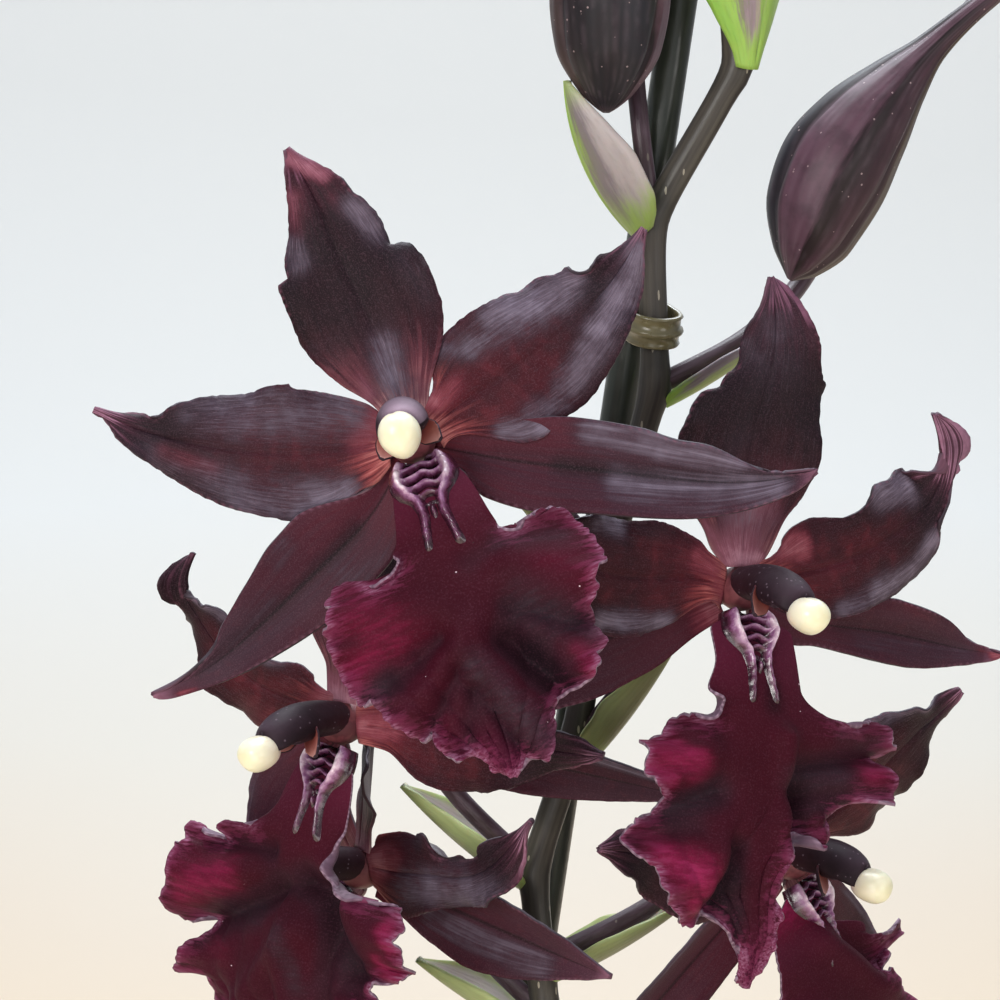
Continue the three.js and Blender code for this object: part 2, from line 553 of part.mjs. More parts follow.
function clipSolid(height) {
  const share = (height - STAKE.foot[2]) / (STAKE.top[2] - STAKE.foot[2]);
  const rod = V(STAKE.foot).lerp(V(STAKE.top), share);
  const stem = new THREE.CatmullRomCurve3([...STEM_FOOT, ...jointPoints].map(V), false, 'centripetal');
  let near = stem.getPoint(0);
  for (let k = 1; k <= 400; k += 1) {
    const point = stem.getPoint(k / 400);
    if (Math.abs(point.z - height) < Math.abs(near.z - height)) near = point;
  }
  const across = rod.clone().sub(near).setZ(0);
  const gap = across.length();
  const turn = Math.atan2(across.y, across.x);
  const { inner, wall, ridge, below, above } = CLIP;
  const profile = [[inner, -below], [inner + wall, -below], [inner + wall, -0.7], [inner + ridge, 0],
    [inner + wall, 0.7], [inner + wall, above], [inner, above]];
  const round = 10;
  const rings = Array.from({ length: round }, (_, k) => {
    const a = (2 * Math.PI * (k + 0.5)) / round;
    const shift = Math.cos(a) > 0 ? gap : 0;
    return profile.map(([r, z]) => new THREE.Vector3(shift + r * Math.cos(a), r * Math.sin(a), z));
  });
  const sides = profile.length;
  const faces = [];
  for (let i = 0; i < round; i += 1) {
    for (let k = 0; k < sides; k += 1) {
      const [low, high] = [i * sides, ((i + 1) % round) * sides];
      const next = (k + 1) % sides;
      faces.push([low + k, high + k, high + next], [low + k, high + next, low + next]);
    }
  }
  const band = indexed(rings.flat(), faces).rotateY(rad(-CLIP.lean)).rotateZ(turn);
  return solid(band.translate(near.x, near.y, height));
}

// Bark: a block that fills the pot, with chips on top and plain holes for what stands in it

function barkSolid() {
  const { height, base, belly, rimHeight, wall, floor } = POT;
  const wallRadius = (z) => {
    const share = (z - floor) / (height - rimHeight - 2 - floor);
    return base - wall + (belly - base) * share - FIT;
  };
  const low = floor + FIT;
  const profile = [[0, low], [wallRadius(low), low], [wallRadius(BARK.top), BARK.top], [0, BARK.top]];
  const block = solid(new THREE.LatheGeometry(profile.map((p) => new THREE.Vector2(...p)), POT.sides)
    .rotateX(Math.PI / 2));
  const draw = random(SEED);
  const chips = [];
  for (let k = 0; k < BARK.chips; k += 1) {
    const long = BARK.chipLong * (0.7 + 0.7 * draw());
    const broad = long * (0.45 + 0.25 * draw());
    const chip = new THREE.BoxGeometry(long, broad, BARK.chipThick * (0.8 + 0.6 * draw()));
    chip.rotateX((draw() - 0.5) * 0.9).rotateY((draw() - 0.5) * 0.7).rotateZ(Math.PI * draw());
    const far = (wallRadius(BARK.top) - long * 0.62) * Math.sqrt((k + 0.5) / BARK.chips);
    const a = k * 2.39996;
    chips.push(solid(chip.translate(far * Math.cos(a), far * Math.sin(a), BARK.top + 0.6 + 1.6 * draw())));
  }
  return fuse([block, ...chips]);
}

// Leaves

function leafBlade(leaf) {
  const bulb = BULBS[leaf.bulb];
  const wide = new THREE.Vector3(1, 0, 0).applyAxisAngle(new THREE.Vector3(0, 0, 1), rad(bulb.turn));
  const out = new THREE.Vector3(Math.cos(rad(leaf.heading)), Math.sin(rad(leaf.heading)), 0);
  const top = leaf.from === 'top';
  const foot = new THREE.Vector3(...bulb.at, BULB_FOOT + (top ? bulb.height + 0.6 : 8));
  foot.addScaledVector(wide, top ? leaf.shift : leaf.shift * (bulb.wide * 0.76 + 4));
  const y = new THREE.Vector3(0, 0, 1);
  const z = out.clone().negate();
  const x = new THREE.Vector3().crossVectors(y, z);
  const outline = LEAF.map(([share, half]) => [share, half * leaf.half, half * leaf.half]);
  const blade = { length: leaf.length, outline, tilt: -leaf.lean, bend: -leaf.arch, keel: 0.22, fold: 0.5,
    cup: 0.04, ruffle: 0.8, waves: 1.5, nu: 6, nv: 4, thick: 0.9 };
  return bladeGeometry(blade, { x, y, z }, foot);
}

// Bracts clasp the stalk on its outer side

function bractBlade(bract) {
  const along = V(bract.along).normalize();
  const side = new THREE.Vector3().crossVectors(along, new THREE.Vector3(0, 0, 1)).normalize();
  const inward = new THREE.Vector3().crossVectors(side, along);
  const outline = BRACT.map(([share, half]) => [share, half * bract.half, half * bract.half]);
  const blade = { length: bract.length, outline, lift: -2.6, tilt: -(bract.open ?? 4), bend: 14, cup: 0.75,
    nu: 4, nv: 4, thick: 0.8 };
  const axes = { x: new THREE.Vector3().crossVectors(along, inward), y: along, z: inward };
  return solid(bladeGeometry(blade, axes, V(JOINTS[bract.joint])));
}

// Buds: a teardrop with three sepal seams

function budSolid(bud) {
  const base = V(bud.base);
  const axis = V(bud.tip).sub(base);
  const bow = V(bud.bow ?? [0, 0, 0]);
  const x = new THREE.Vector3().crossVectors(axis, new THREE.Vector3(0, 1, 0)).normalize();
  const y = new THREE.Vector3().crossVectors(axis, x).normalize();
  const profile = [[0, 0.16], [0.12, 0.34], [0.32, 0.74], [0.56, 1], [0.76, 0.86], [0.92, 0.46], [1, 0.07]];
  const sides = 9;
  const rings = profile.map(([share, size]) => Array.from({ length: sides }, (_, k) => {
    const a = (2 * Math.PI * k) / sides;
    const r = bud.radius * size * (1 + 0.06 * Math.cos(3 * a));
    return base.clone().addScaledVector(axis, share).addScaledVector(bow, 2 * share * (1 - share))
      .addScaledVector(x, r * Math.cos(a)).addScaledVector(y, r * Math.sin(a));
  }));
  return solid(loft(rings));
}

// A bloom: five tepals and the column fused at the hub, the lip with its callus, and the anther cap

function ballSolid(centre, axes, [wide, tall, deep], slices, stacks) {
  const matrix = new THREE.Matrix4().makeBasis(axes.x, axes.y, axes.z).setPosition(centre);
  const ball = new THREE.SphereGeometry(1, slices, stacks).scale(wide, tall, deep);
  return solid(ball.applyMatrix4(matrix));
}

// The column rises along the bloom's facing line, droops a little, and flares in two side wings
function columnSolid(axes, centre) {
  const profile = [[0.1, 2.2, 2.3], [0.5, 2.2, 2.4], [0.8, 3.1, 3.2], [1, 3.1, 3.2]];
  const sides = 8;
  const rings = profile.map(([share, wide, tall]) => Array.from({ length: sides }, (_, k) => {
    const a = (2 * Math.PI * k) / sides;
    const wing = COLUMN.wing * smooth((share - 0.45) / 0.3) * Math.max(0, Math.cos(2 * (a + 0.35))) ** 3
      * (Math.sin(a) < 0.2 ? 1 : 0);
    return centre.clone().addScaledVector(axes.z, COLUMN.length * share)
      .addScaledVector(axes.y, tall * Math.sin(a) - COLUMN.droop * share * share)
      .addScaledVector(axes.x, (wide + wing) * Math.cos(a));
  }));
  return solid(loft(rings));
}

function callusSolid(frames, length) {
  const { from, to, half, height } = CALLUS;
  const shape = [[0, 0.35, 0.3, 0.3], [0.4, 0.5, 0.5, 1], [0.75, 0.55, 0.4, 0.95], [1, 0.8, 0.12, 0.5]];
  const ring = (at, shift, wide, high) => {
    const { p, b, n } = frameAt(frames, at / length);
    return [[-1, 0.1], [-0.6, 0.8], [0, 1], [0.6, 0.8], [1, 0.1]].map(([over, up]) => p.clone()
      .addScaledVector(b, shift + wide * over).addScaledVector(n, high * up));
  };
  const keels = [-1, 1].map((side) => loft(shape.map(([share, shift, wide, high]) => ring(
    from + (to - from) * share, side * half * shift, half * wide, height * high))));
  return fuse(keels.map(solid));
}

function bloomSolids(bloom) {
  const axes = facing(bloom.face);
  const centre = V(bloom.at);
  const tepals = Object.entries(TEPALS).map(([part, base]) => {
    const blade = { ...base, ...TEPAL_GRID, ...bloom.bends[part] };
    return solid(bladeGeometry(blade, axes, centre));
  });
  const hub = ballSolid(centre, axes, [HUB, HUB, HUB], 8, 4);
  const flower = fuse([...tepals, hub, columnSolid(axes, centre)]);
  const lipBlade = { ...LIP_BLADE, ...bloom.bends.lip };
  const lipFrames = spine(lipBlade, axes, centre);
  const lip = fuse([solid(bladeGeometry(lipBlade, axes, centre)), callusSolid(lipFrames, lipBlade.length)]);
  const tip = centre.clone().addScaledVector(axes.z, COLUMN.length + FIT + CAP.deep)
    .addScaledVector(axes.y, -COLUMN.droop);
  return {
    flower: biggest(flower),
    lip: biggest(lip),
    cap: ballSolid(tip, axes, [CAP.wide, CAP.tall, CAP.deep], 8, 5),
  };
}

// The whole plant

const sockets = BULBS.map(socketSolid);
const stem = stemSolid();
const grownStem = stemSolid(FIT);
const grownStake = stakeSolid(FIT);

add('pot', potGeometry(), 'pot');
const stemFoot = solid(tube(STEM_FOOT.slice(0, 4), () => STEM_RADIUS.foot + FIT, 2, 8));
const standing = [rhizomeSolid(FIT), grownStake, stemFoot, ...sockets];
add('bark', geometryOf(biggest(carve(barkSolid(), standing))), 'bark');
add('rhizome', geometryOf(biggest(carve(rhizomeSolid(), [stemFoot, ...sockets]))), 'rhizome');
BULBS.forEach((bulb, k) => add(`pseudobulb_${k + 1}`, bulbGeometry(bulb), 'bulb'));
LEAVES.forEach((leaf, k) => add(`leaf_${k + 1}`, leafBlade(leaf), 'leaf'));
add('stake', geometryOf(stakeSolid()), 'stake');
add('flower_stem', geometryOf(stem), 'stem');
CLIP.heights.forEach((height, k) => {
  add(`clip_${k + 1}`, geometryOf(biggest(carve(clipSolid(height), [grownStem, grownStake]))), 'clip');
});
BRACTS.forEach((bract, k) => {
  add(`bract_${k + 1}`, geometryOf(biggest(carve(bractBlade(bract), [grownStem]))), bract.colour);
});
BUDS.forEach((bud, k) => add(`bud_${k + 1}`, geometryOf(budSolid(bud)), 'bud'));
BLOOMS.forEach((bloom, k) => {
  const { flower, lip, cap } = bloomSolids(bloom);
  add(`bloom_${k + 1}`, geometryOf(flower), 'tepal');
  add(`bloom_${k + 1}_lip`, geometryOf(lip), 'lip');
  add(`bloom_${k + 1}_cap`, geometryOf(cap), 'cap');
});

export default group;
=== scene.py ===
# %% [markdown]
# # A potted orchid in bloom
# The real object is a living oncostele orchid: near-black maroon flowers on one zigzag stem, tied to a
# stake, above pseudobulbs and strap leaves in a pot of bark. The solids of the plant are already packed
# in one frame. This lesson dresses them: each thin or soft form gets a fine mesh at the same place, and
# each surface gets a material made of nodes.

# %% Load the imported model
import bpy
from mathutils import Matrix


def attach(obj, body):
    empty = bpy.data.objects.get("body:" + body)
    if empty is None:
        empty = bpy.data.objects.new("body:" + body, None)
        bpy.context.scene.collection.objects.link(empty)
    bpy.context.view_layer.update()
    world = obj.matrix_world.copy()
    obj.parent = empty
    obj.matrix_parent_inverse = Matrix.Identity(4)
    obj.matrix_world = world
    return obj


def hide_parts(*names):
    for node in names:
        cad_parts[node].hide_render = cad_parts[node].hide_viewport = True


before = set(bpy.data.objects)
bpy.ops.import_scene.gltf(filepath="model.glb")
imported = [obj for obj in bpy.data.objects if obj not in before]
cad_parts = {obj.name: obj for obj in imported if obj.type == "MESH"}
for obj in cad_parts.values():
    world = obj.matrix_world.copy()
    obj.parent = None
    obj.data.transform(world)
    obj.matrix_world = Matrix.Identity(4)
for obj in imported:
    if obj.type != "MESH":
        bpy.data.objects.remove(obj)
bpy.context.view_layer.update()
print(len(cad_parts), "solids in the frame")

# %% Modules and units
import math
import bmesh
import bpy
import numpy as np
from mathutils import Matrix, Vector

MM = 0.001
scene = bpy.context.scene


def rad(angle):
    return math.radians(angle)


# %% [markdown]
# ## The camera
# The photograph looks at the open flowers from their own height and slightly down, from about 30 cm. A
# long lens with a small tilt gives the same overlaps between the flowers, so it comes first: every later
# choice of shape is compared through it.

# %% Camera at the photograph's viewing angle
camera_data = bpy.data.cameras.new("photo_camera")
camera_data.lens = 90
camera_data.sensor_width = 36
camera_data.clip_start = 0.01
camera = bpy.data.objects.new("photo_camera", camera_data)
camera.location = (0.024, -0.2973, 0.5433)
camera.rotation_euler = (rad(90 - 8), 0, 0)
scene.collection.objects.link(camera)
scene.camera = camera
print("camera at", tuple(round(c, 3) for c in camera.location))

# %% [markdown]
# ## Light, floor and backdrop
# Dark velvety petals only show their form by what they mirror, so the light is broad and soft: a wide
# panel above and behind lights the upper folds, where a slate sheen is also painted into the colour, a
# large one in front keeps the deep red visible, and the pale sweep behind sends light round the edges.

# %% Soft studio lights
def panel(name, place, aim, size, watts, colour):
    data = bpy.data.lights.new(name, "AREA")
    data.shape = "DISK"
    data.size = size
    data.energy = watts
    data.color = colour
    light = bpy.data.objects.new(name, data)
    light.location = place
    light.rotation_euler = (Vector(aim) - Vector(place)).to_track_quat("-Z", "Y").to_euler()
    scene.collection.objects.link(light)


FLOWERS = (0.024, -0.01, 0.5)
panel("front_left", (-0.55, -0.95, 0.95), FLOWERS, 0.55, 7.5, (1, 0.97, 0.94))
panel("front_right", (0.8, -0.75, 0.6), FLOWERS, 0.7, 2.6, (1, 0.96, 0.93))
panel("above_behind", (0.1, 0.45, 1.25), FLOWERS, 0.8, 11, (0.88, 0.94, 1))
panel("low_fill", (-0.2, -0.9, 0.15), (0, 0, 0.2), 0.8, 3, (1, 0.97, 0.95))
world = scene.world or bpy.data.worlds.new("studio")
scene.world = world
world.use_nodes = True
world.node_tree.nodes["Background"].inputs["Color"].default_value = (0.86, 0.92, 1, 1)
world.node_tree.nodes["Background"].inputs["Strength"].default_value = 0.42
scene.view_settings.view_transform = "Standard"
scene.view_settings.look = "None"

# %% Values and nodes: small helpers for every material
def tone(code):
    parts = [int(code[k:k + 2], 16) / 255 for k in (1, 3, 5)]
    return (*(c / 12.92 if c <= 0.04045 else ((c + 0.055) / 1.055) ** 2.4 for c in parts), 1)


def put(tree, kind, inputs=None, **settings):
    """A new node; each input takes a socket, a mask, a colour code or a plain value."""
    node = tree.nodes.new(kind)
    for key, value in settings.items():
        setattr(node, key, value)
    for key, value in (inputs or {}).items():
        value = getattr(value, "socket", value)
        if isinstance(value, bpy.types.NodeSocket):
            tree.links.new(value, node.inputs[key])
        else:
            node.inputs[key].default_value = tone(value) if isinstance(value, str) else value
    return node


class Mask:
    """A number that changes over the surface. What is done to it becomes nodes beside it."""

    def __init__(self, socket):
        self.socket, self.tree = socket, socket.id_data

    def maths(self, operation, *others):
        inputs = dict(enumerate([self, *others]))
        return Mask(put(self.tree, "ShaderNodeMath", inputs, operation=operation).outputs[0])

    def __add__(self, other):
        return self.maths("ADD", other)

    def __sub__(self, other):
        return self.maths("SUBTRACT", other)

    def __mul__(self, other):
        return self.maths("MULTIPLY", other)

    def spread(self, low, high, to_low=0.0, to_high=1.0):
        """Smoothly maps low..high to to_low..to_high."""
        inputs = {"Value": self, "From Min": low, "From Max": high, "To Min": to_low, "To Max": to_high}
        return Mask(put(self.tree, "ShaderNodeMapRange", inputs, interpolation_type="SMOOTHSTEP").outputs[0])

    def ramp(self, stops):
        """Colours in order, each at its own place."""
        node = put(self.tree, "ShaderNodeValToRGB", {"Fac": self})
        elements = node.color_ramp.elements
        while len(elements) < len(stops):
            elements.new(0.5)
        for element, (place, code) in zip(elements, stops.items()):
            element.position, element.color = place, tone(code)
        return node.outputs["Color"]


def noise(tree, place, scale, detail, **more):
    return Mask(put(tree, "ShaderNodeTexNoise", {"Vector": place, "Scale": scale, "Detail": detail, **more}
                    ).outputs[0])


def flat_place(x, y):
    return put(x.tree, "ShaderNodeCombineXYZ", {"X": x, "Y": y}).outputs[0]


# %% [markdown]
# ## Shared effects
# Petals, leaves and stems are all built of long cells, so the same few effects serve them: long veins,
# bars across, small specks and soft blotches. Each is a node group with named sockets, built once
# and placed with its own numbers.

# %% A node group from named sockets
def effect(name, inputs):
    """An empty group with one mask to put out: its tree, its inputs and what takes the mask."""
    tree = bpy.data.node_groups.new(name, "ShaderNodeTree")
    for label, value in inputs.items():
        kind = "NodeSocketVector" if value is None else "NodeSocketFloat"
        socket = tree.interface.new_socket(label, in_out="INPUT", socket_type=kind)
        if value is not None:
            socket.default_value = value
    tree.interface.new_socket("mask", in_out="OUTPUT", socket_type="NodeSocketFloat")
    start, end = tree.nodes.new("NodeGroupInput").outputs, tree.nodes.new("NodeGroupOutput").inputs["mask"]
    ins = [Mask(start[label]) for label in inputs]
    return tree, ins, lambda mask: tree.links.new(mask.socket, end)


# %% Long veins: fine lines that run from foot to tip and wander a little
veins, (along, across, count, wander), give = effect(
    "long_veins", {"along": 0, "across": 0, "count": 24, "wander": 0.6})
place = flat_place(along * 2.2, across * 3)
lines = across * count + noise(veins, place, 2, 2) * wander
wave = (lines * (2 * math.pi)).maths("SINE") * 0.5 + 0.5
give(wave * noise(veins, place, 5, 3).spread(0.4, 0.66, 0.12, 1))

# %% Cross bars: broken bands of colour across the inner half of a petal
bars, (along, across, count, gaps), give = effect(
    "cross_bars", {"along": 0, "across": 0, "count": 9, "gaps": 1})
place = flat_place(along * 5, across * 3)
lines = along * count + noise(bars, place, 1.6, 3) * 1.8
wave = (lines * (2 * math.pi)).maths("SINE").spread(-0.3, 0.9)
give(wave * noise(bars, place, 2.3, 2).spread(0.38, 0.62).maths("POWER", gaps))

# %% Specks: tiny pale dots scattered over a velvety surface
speck_dots, (place, scale, size, share), give = effect(
    "speck_dots", {"place": None, "scale": 900, "size": 0.12, "share": 0.2})
cells = put(speck_dots, "ShaderNodeTexVoronoi", {"Vector": place, "Scale": scale}).outputs
chance = Mask(put(speck_dots, "ShaderNodeSeparateColor", {"Color": cells["Color"]}).outputs[0])
give(chance.maths("LESS_THAN", share) * Mask(cells["Distance"]).maths("LESS_THAN", size))

# %% Blotches: soft clouds, stretched along the blade where wanted
clouds, (place, scale, low, high), give = effect(
    "blotches", {"place": None, "scale": 60, "low": 0.42, "high": 0.62})
give(noise(clouds, place, scale, 4, Roughness=0.6).spread(low, high))
print("effects:", [g.name for g in bpy.data.node_groups])


# %% A skin to paint: first a colour, then one wash after another
class Skin:
    """A material in the making: its shader, its places on the surface and its colour so far."""

    def __init__(self, name, roughness, specular, sheen=0.0, sheen_tint="#ffffff", coat=0.0):
        self.material = bpy.data.materials.new(name)
        self.material.use_nodes = True
        self.tree = self.material.node_tree
        self.shader = self.tree.nodes["Principled BSDF"].inputs
        for label, value in {"Roughness": roughness, "Specular IOR Level": specular, "Sheen Weight": sheen,
                             "Sheen Roughness": 0.45, "Sheen Tint": tone(sheen_tint), "Coat Weight": coat,
                             "Coat Roughness": 0.18}.items():
            self.shader[label].default_value = value
        self.along, self.across = self.uv("blade")
        self.side = (self.across * 2 - 1).maths("ABSOLUTE")
        self.here = put(self.tree, "ShaderNodeTexCoord").outputs["Object"]

    def uv(self, label):
        place = put(self.tree, "ShaderNodeUVMap", uv_map=label).outputs[0]
        return [Mask(s) for s in put(self.tree, "ShaderNodeSeparateXYZ", {"Vector": place}).outputs[:2]]

    def on_blade(self):
        """What only a blade knows: its folds, the way to its margin in cm, and where it has painted slate
        sheen, glow and painted shade.
        """
        self.fold, self.hem = self.uv("form")
        self.slate, glow = self.uv("sheen_and_glow")
        self.glow = glow * 2 - 1
        return self

    def glow_through(self, weight, scale, reds=(1.0, 0.2, 0.1)):
        """Lets some light through the skin, as thin or waxy tissue does."""
        for label, value in (("Weight", weight), ("Scale", scale), ("Radius", reds)):
            self.shader["Subsurface " + label].default_value = value

    def placed(self, group, **inputs):
        return Mask(put(self.tree, "ShaderNodeGroup", inputs, node_tree=group).outputs[0])

    def blots(self, scale, low, high):
        return self.placed(clouds, place=self.here, scale=scale, low=low, high=high)

    def streaks(self, along, across, low, high):
        """Blots made long: the blade is squeezed along and across before the noise."""
        place = flat_place(self.along * along, self.across * across)
        return self.placed(clouds, place=place, scale=1, low=low, high=high)

    def fibres(self, count, wander):
        return self.placed(veins, along=self.along, across=self.across, count=count, wander=wander)

    def specks(self, scale, size, share):
        return self.placed(speck_dots, place=self.here, scale=scale, size=size, share=share)

    def noise(self, scale, detail):
        return noise(self.tree, self.here, scale, detail)

    def sky_side(self, low, high):
        """1 where the surface turns to the sky."""
        normal = put(self.tree, "ShaderNodeTexCoord").outputs["Normal"]
        return Mask(put(self.tree, "ShaderNodeSeparateXYZ", {"Vector": normal}).outputs[2]).spread(low, high)

    def wash(self, share, colour):
        """Covers a share of the colour so far with another."""
        self.colour = put(self.tree, "ShaderNodeMix", {0: share, 6: self.colour, 7: colour},
                          data_type="RGBA").outputs[2]

    def sheen_glow_shade(self, noise, slate, glow, shade):
        """Painted shade, glow (a brighter red, partly painted light) and painted slate sheen where this blade
        has them, with edges broken by the noise.
        """
        self.wash(self.glow.spread(0, -1, 0, 0.9), shade)
        warm = self.glow * (noise * 0.7 + 0.65)
        self.wash(warm.spread(0, 0.6), warm.ramp(glow))
        sheen_share = self.slate * (noise * 0.55 + 0.6)
        self.wash(sheen_share.spread(0, 0.7), sheen_share.ramp(slate))

    def nap(self, tint):
        """The finest grain, lighter on its tips."""
        grain = self.noise(7000, 1)
        self.wash(grain.spread(0.45, 0.8, 0, 0.2), tint)
        return grain

    def done(self, height, strength, distance, rough=None):
        """Joins colour, relief and, where given, roughness to the shader."""
        bump = put(self.tree, "ShaderNodeBump", {
            "Strength": strength, "Distance": distance, "Height": height})
        self.tree.links.new(self.colour, self.shader["Base Color"])
        self.tree.links.new(bump.outputs[0], self.shader["Normal"])
        if rough is not None:
            self.tree.links.new(rough.socket, self.shader["Roughness"])
        return self.material


# %% [markdown]
# ## Velvet petals
# The face of a petal is near black with a brick-red inner half, crossed by broken bars, with pink at its
# very foot and tip. A slate sheen is painted where it turns to the sky, with painted shade and a brighter
# red, partly painted light, along given strokes. A ramp along the blade sets the order of the colours, long
# noise breaks its edges, and a fine grain gives the nap of velvet. Gloss stays low: a dark surface that
# mirrors the room would look dusty.

# %% The face of petals and upper sepal
# Painted sheen: slate colours from dark to light, laid where a blade turns to the sky or has a stroke of
# sheen. The glow ramps are brighter reds, partly the blade's own colour and partly painted light.
PAINTED_SHEEN = {0: "#231a22", 0.3: "#382d38", 0.6: "#5f5462", 1: "#8b8092"}
GLOW = {0: "#38121b", 0.3: "#5c1c2a", 0.6: "#873f4b", 1: "#b5767f"}
MAUVE_GLOW = {0: "#33141d", 0.3: "#5a2937", 0.6: "#885060", 1: "#bd8797"}


def velvet_face(name, stops, glow, red, red_share, bar, bar_share):
    skin = Skin(name, 0.5, 0.12, 0.03, "#a9a4c8").on_blade()
    streaks = skin.streaks(2.6, 15, 0.4, 0.64)
    patches = skin.blots(260, 0.36, 0.68)
    skin.colour = ((streaks - 0.5) * 0.12 + skin.along).ramp(stops)
    inner = skin.along.spread(0.05, 0.2) * skin.along.spread(0.78, 0.45)
    middle = inner * skin.side.spread(0.9, 0.3)
    skin.wash(middle * red_share, red)
    band = skin.placed(bars, along=skin.along, across=skin.across, count=11)
    skin.wash(middle * band * bar_share, bar)
    skin.wash(patches * 0.5, "#180e14")
    # Painted shade, glow and slate sheen along this blade's strokes.
    skin.sheen_glow_shade(skin.streaks(9, 60, 0.36, 0.7) * 0.5 + patches * 0.5, PAINTED_SHEEN, glow, "#1a1318")
    skin.wash(skin.hem.spread(0.05, 0) * (streaks * 0.7), "#7a4a5c")
    wrinkles = skin.streaks(16, 80, 0.56, 0.68)
    # Painted highlights: the wrinkles turn pale where the slate sheen is painted.
    skin.wash(wrinkles * skin.slate.spread(0.2, 0.8, 0.06, 0.4), "#8d7c8c")
    grain = skin.nap("#7c5a68")
    return skin.done(wrinkles * 0.9 + grain * 0.9, 0.45, 0.00012, streaks.spread(0, 1, 0.46, 0.6))


UPPER = velvet_face("sepal_face", {0: "#d8a4a4", 0.07: "#a3666c", 0.15: "#6a3640", 0.26: "#351720",
                                   0.5: "#1a0e14", 0.75: "#221018", 0.93: "#3f1e2a", 1: "#93607a"},
                    MAUVE_GLOW, "#35181f", 0.3, "#4a2028", 0.15)
PETAL_FACE = velvet_face("petal_face", {0: "#cc7a76", 0.05: "#9c4a4c", 0.12: "#61252c", 0.2: "#45151f",
                                        0.5: "#2a0d16", 0.78: "#1b0c13", 0.9: "#341a25", 0.96: "#553040",
                                        1: "#a0728a"}, GLOW, "#4b121c", 0.6, "#6c2731", 0.32)

# %% [markdown]
# The lower sepals are plainer: mauve-brown with painted shade as a dark line down the keel, and small red
# freckles. The backs of all five are smoother and greyer, with a grey sheen painted where they face the
# sky and pink at the foot, as the photograph shows where a flower is turned away.

# %% Lower sepals and the backs
def plain_sepal():
    skin = Skin("lower_sepal_face", 0.5, 0.13, 0.03, "#a9a4c8").on_blade()
    streaks = skin.streaks(2.6, 14, 0.38, 0.66)
    patches = skin.blots(300, 0.36, 0.68)
    skin.colour = skin.along.ramp({0: "#7a2f3c", 0.1: "#541f2c", 0.4: "#431a27", 0.75: "#391a27",
                                   0.94: "#472634", 1: "#8a5d72"})
    skin.wash(streaks * 0.4, "#452c38")
    skin.wash(skin.blots(700, 0.54, 0.66) * 0.25, "#562530")
    # Painted shade, glow and slate sheen along this blade's strokes.
    skin.sheen_glow_shade(streaks * 0.7 + patches * 0.3, PAINTED_SHEEN, GLOW, "#151014")
    # Painted shade: a dark line down the middle, where the keel sinks.
    skin.wash(skin.side.spread(0.1, 0) * 0.7, "#120a0e")
    skin.wash(skin.hem.spread(0.05, 0) * (streaks * 0.7), "#7d5263")
    return skin.done(patches * 0.3 + skin.nap("#7c5a68") * 0.9, 0.4, 0.00012)


def sepal_back():
    skin = Skin("petal_back", 0.52, 0.22, 0.05, "#c0b8c8")
    fine = skin.streaks(5, 60, 0.4, 0.7)
    skin.colour = skin.along.ramp({0: "#c7a3a5", 0.1: "#8d6a72", 0.26: "#4f3540", 0.55: "#33252d",
                                   0.85: "#2b2028", 1: "#6f4659"})
    skin.wash(skin.streaks(3, 18, 0.36, 0.68) * 0.5, "#2a1a22")
    # Painted sheen: grey where the back turns to the sky.
    skin.wash(skin.sky_side(0.1, 0.8) * 0.6, "#57505a")
    skin.wash(fine * 0.14, "#7d6a76")
    return skin.done(fine, 0.25, 0.0001)


LOWER, BACK = plain_sepal(), sepal_back()

# %% [markdown]
# ## The lip
# The lip is the richest colour: burgundy along the middle, crimson on the lobes, magenta-mauve at the
# toothed margin, with a slate sheen and shade painted where it folds. Small white specks lie on it. The
# folds are real ones in the mesh. Their depth is kept on its second UV map, with the distance to the
# margin, so the finish can paint shade in a valley and draw a hem of even width round every lobe, with
# painted highlights on the pleats near it.

# %% The lip's face and back
# Painted sheen of the lip, slate from dark to light, and its glow, a brighter crimson that is partly painted
# light.
LIP_PAINTED_SHEEN = {0: "#26161e", 0.4: "#33242c", 0.8: "#443942", 1: "#5f535f"}
LIP_GLOW = {0: "#3a0e1d", 0.3: "#520f24", 0.6: "#701838", 1: "#9a2b58"}


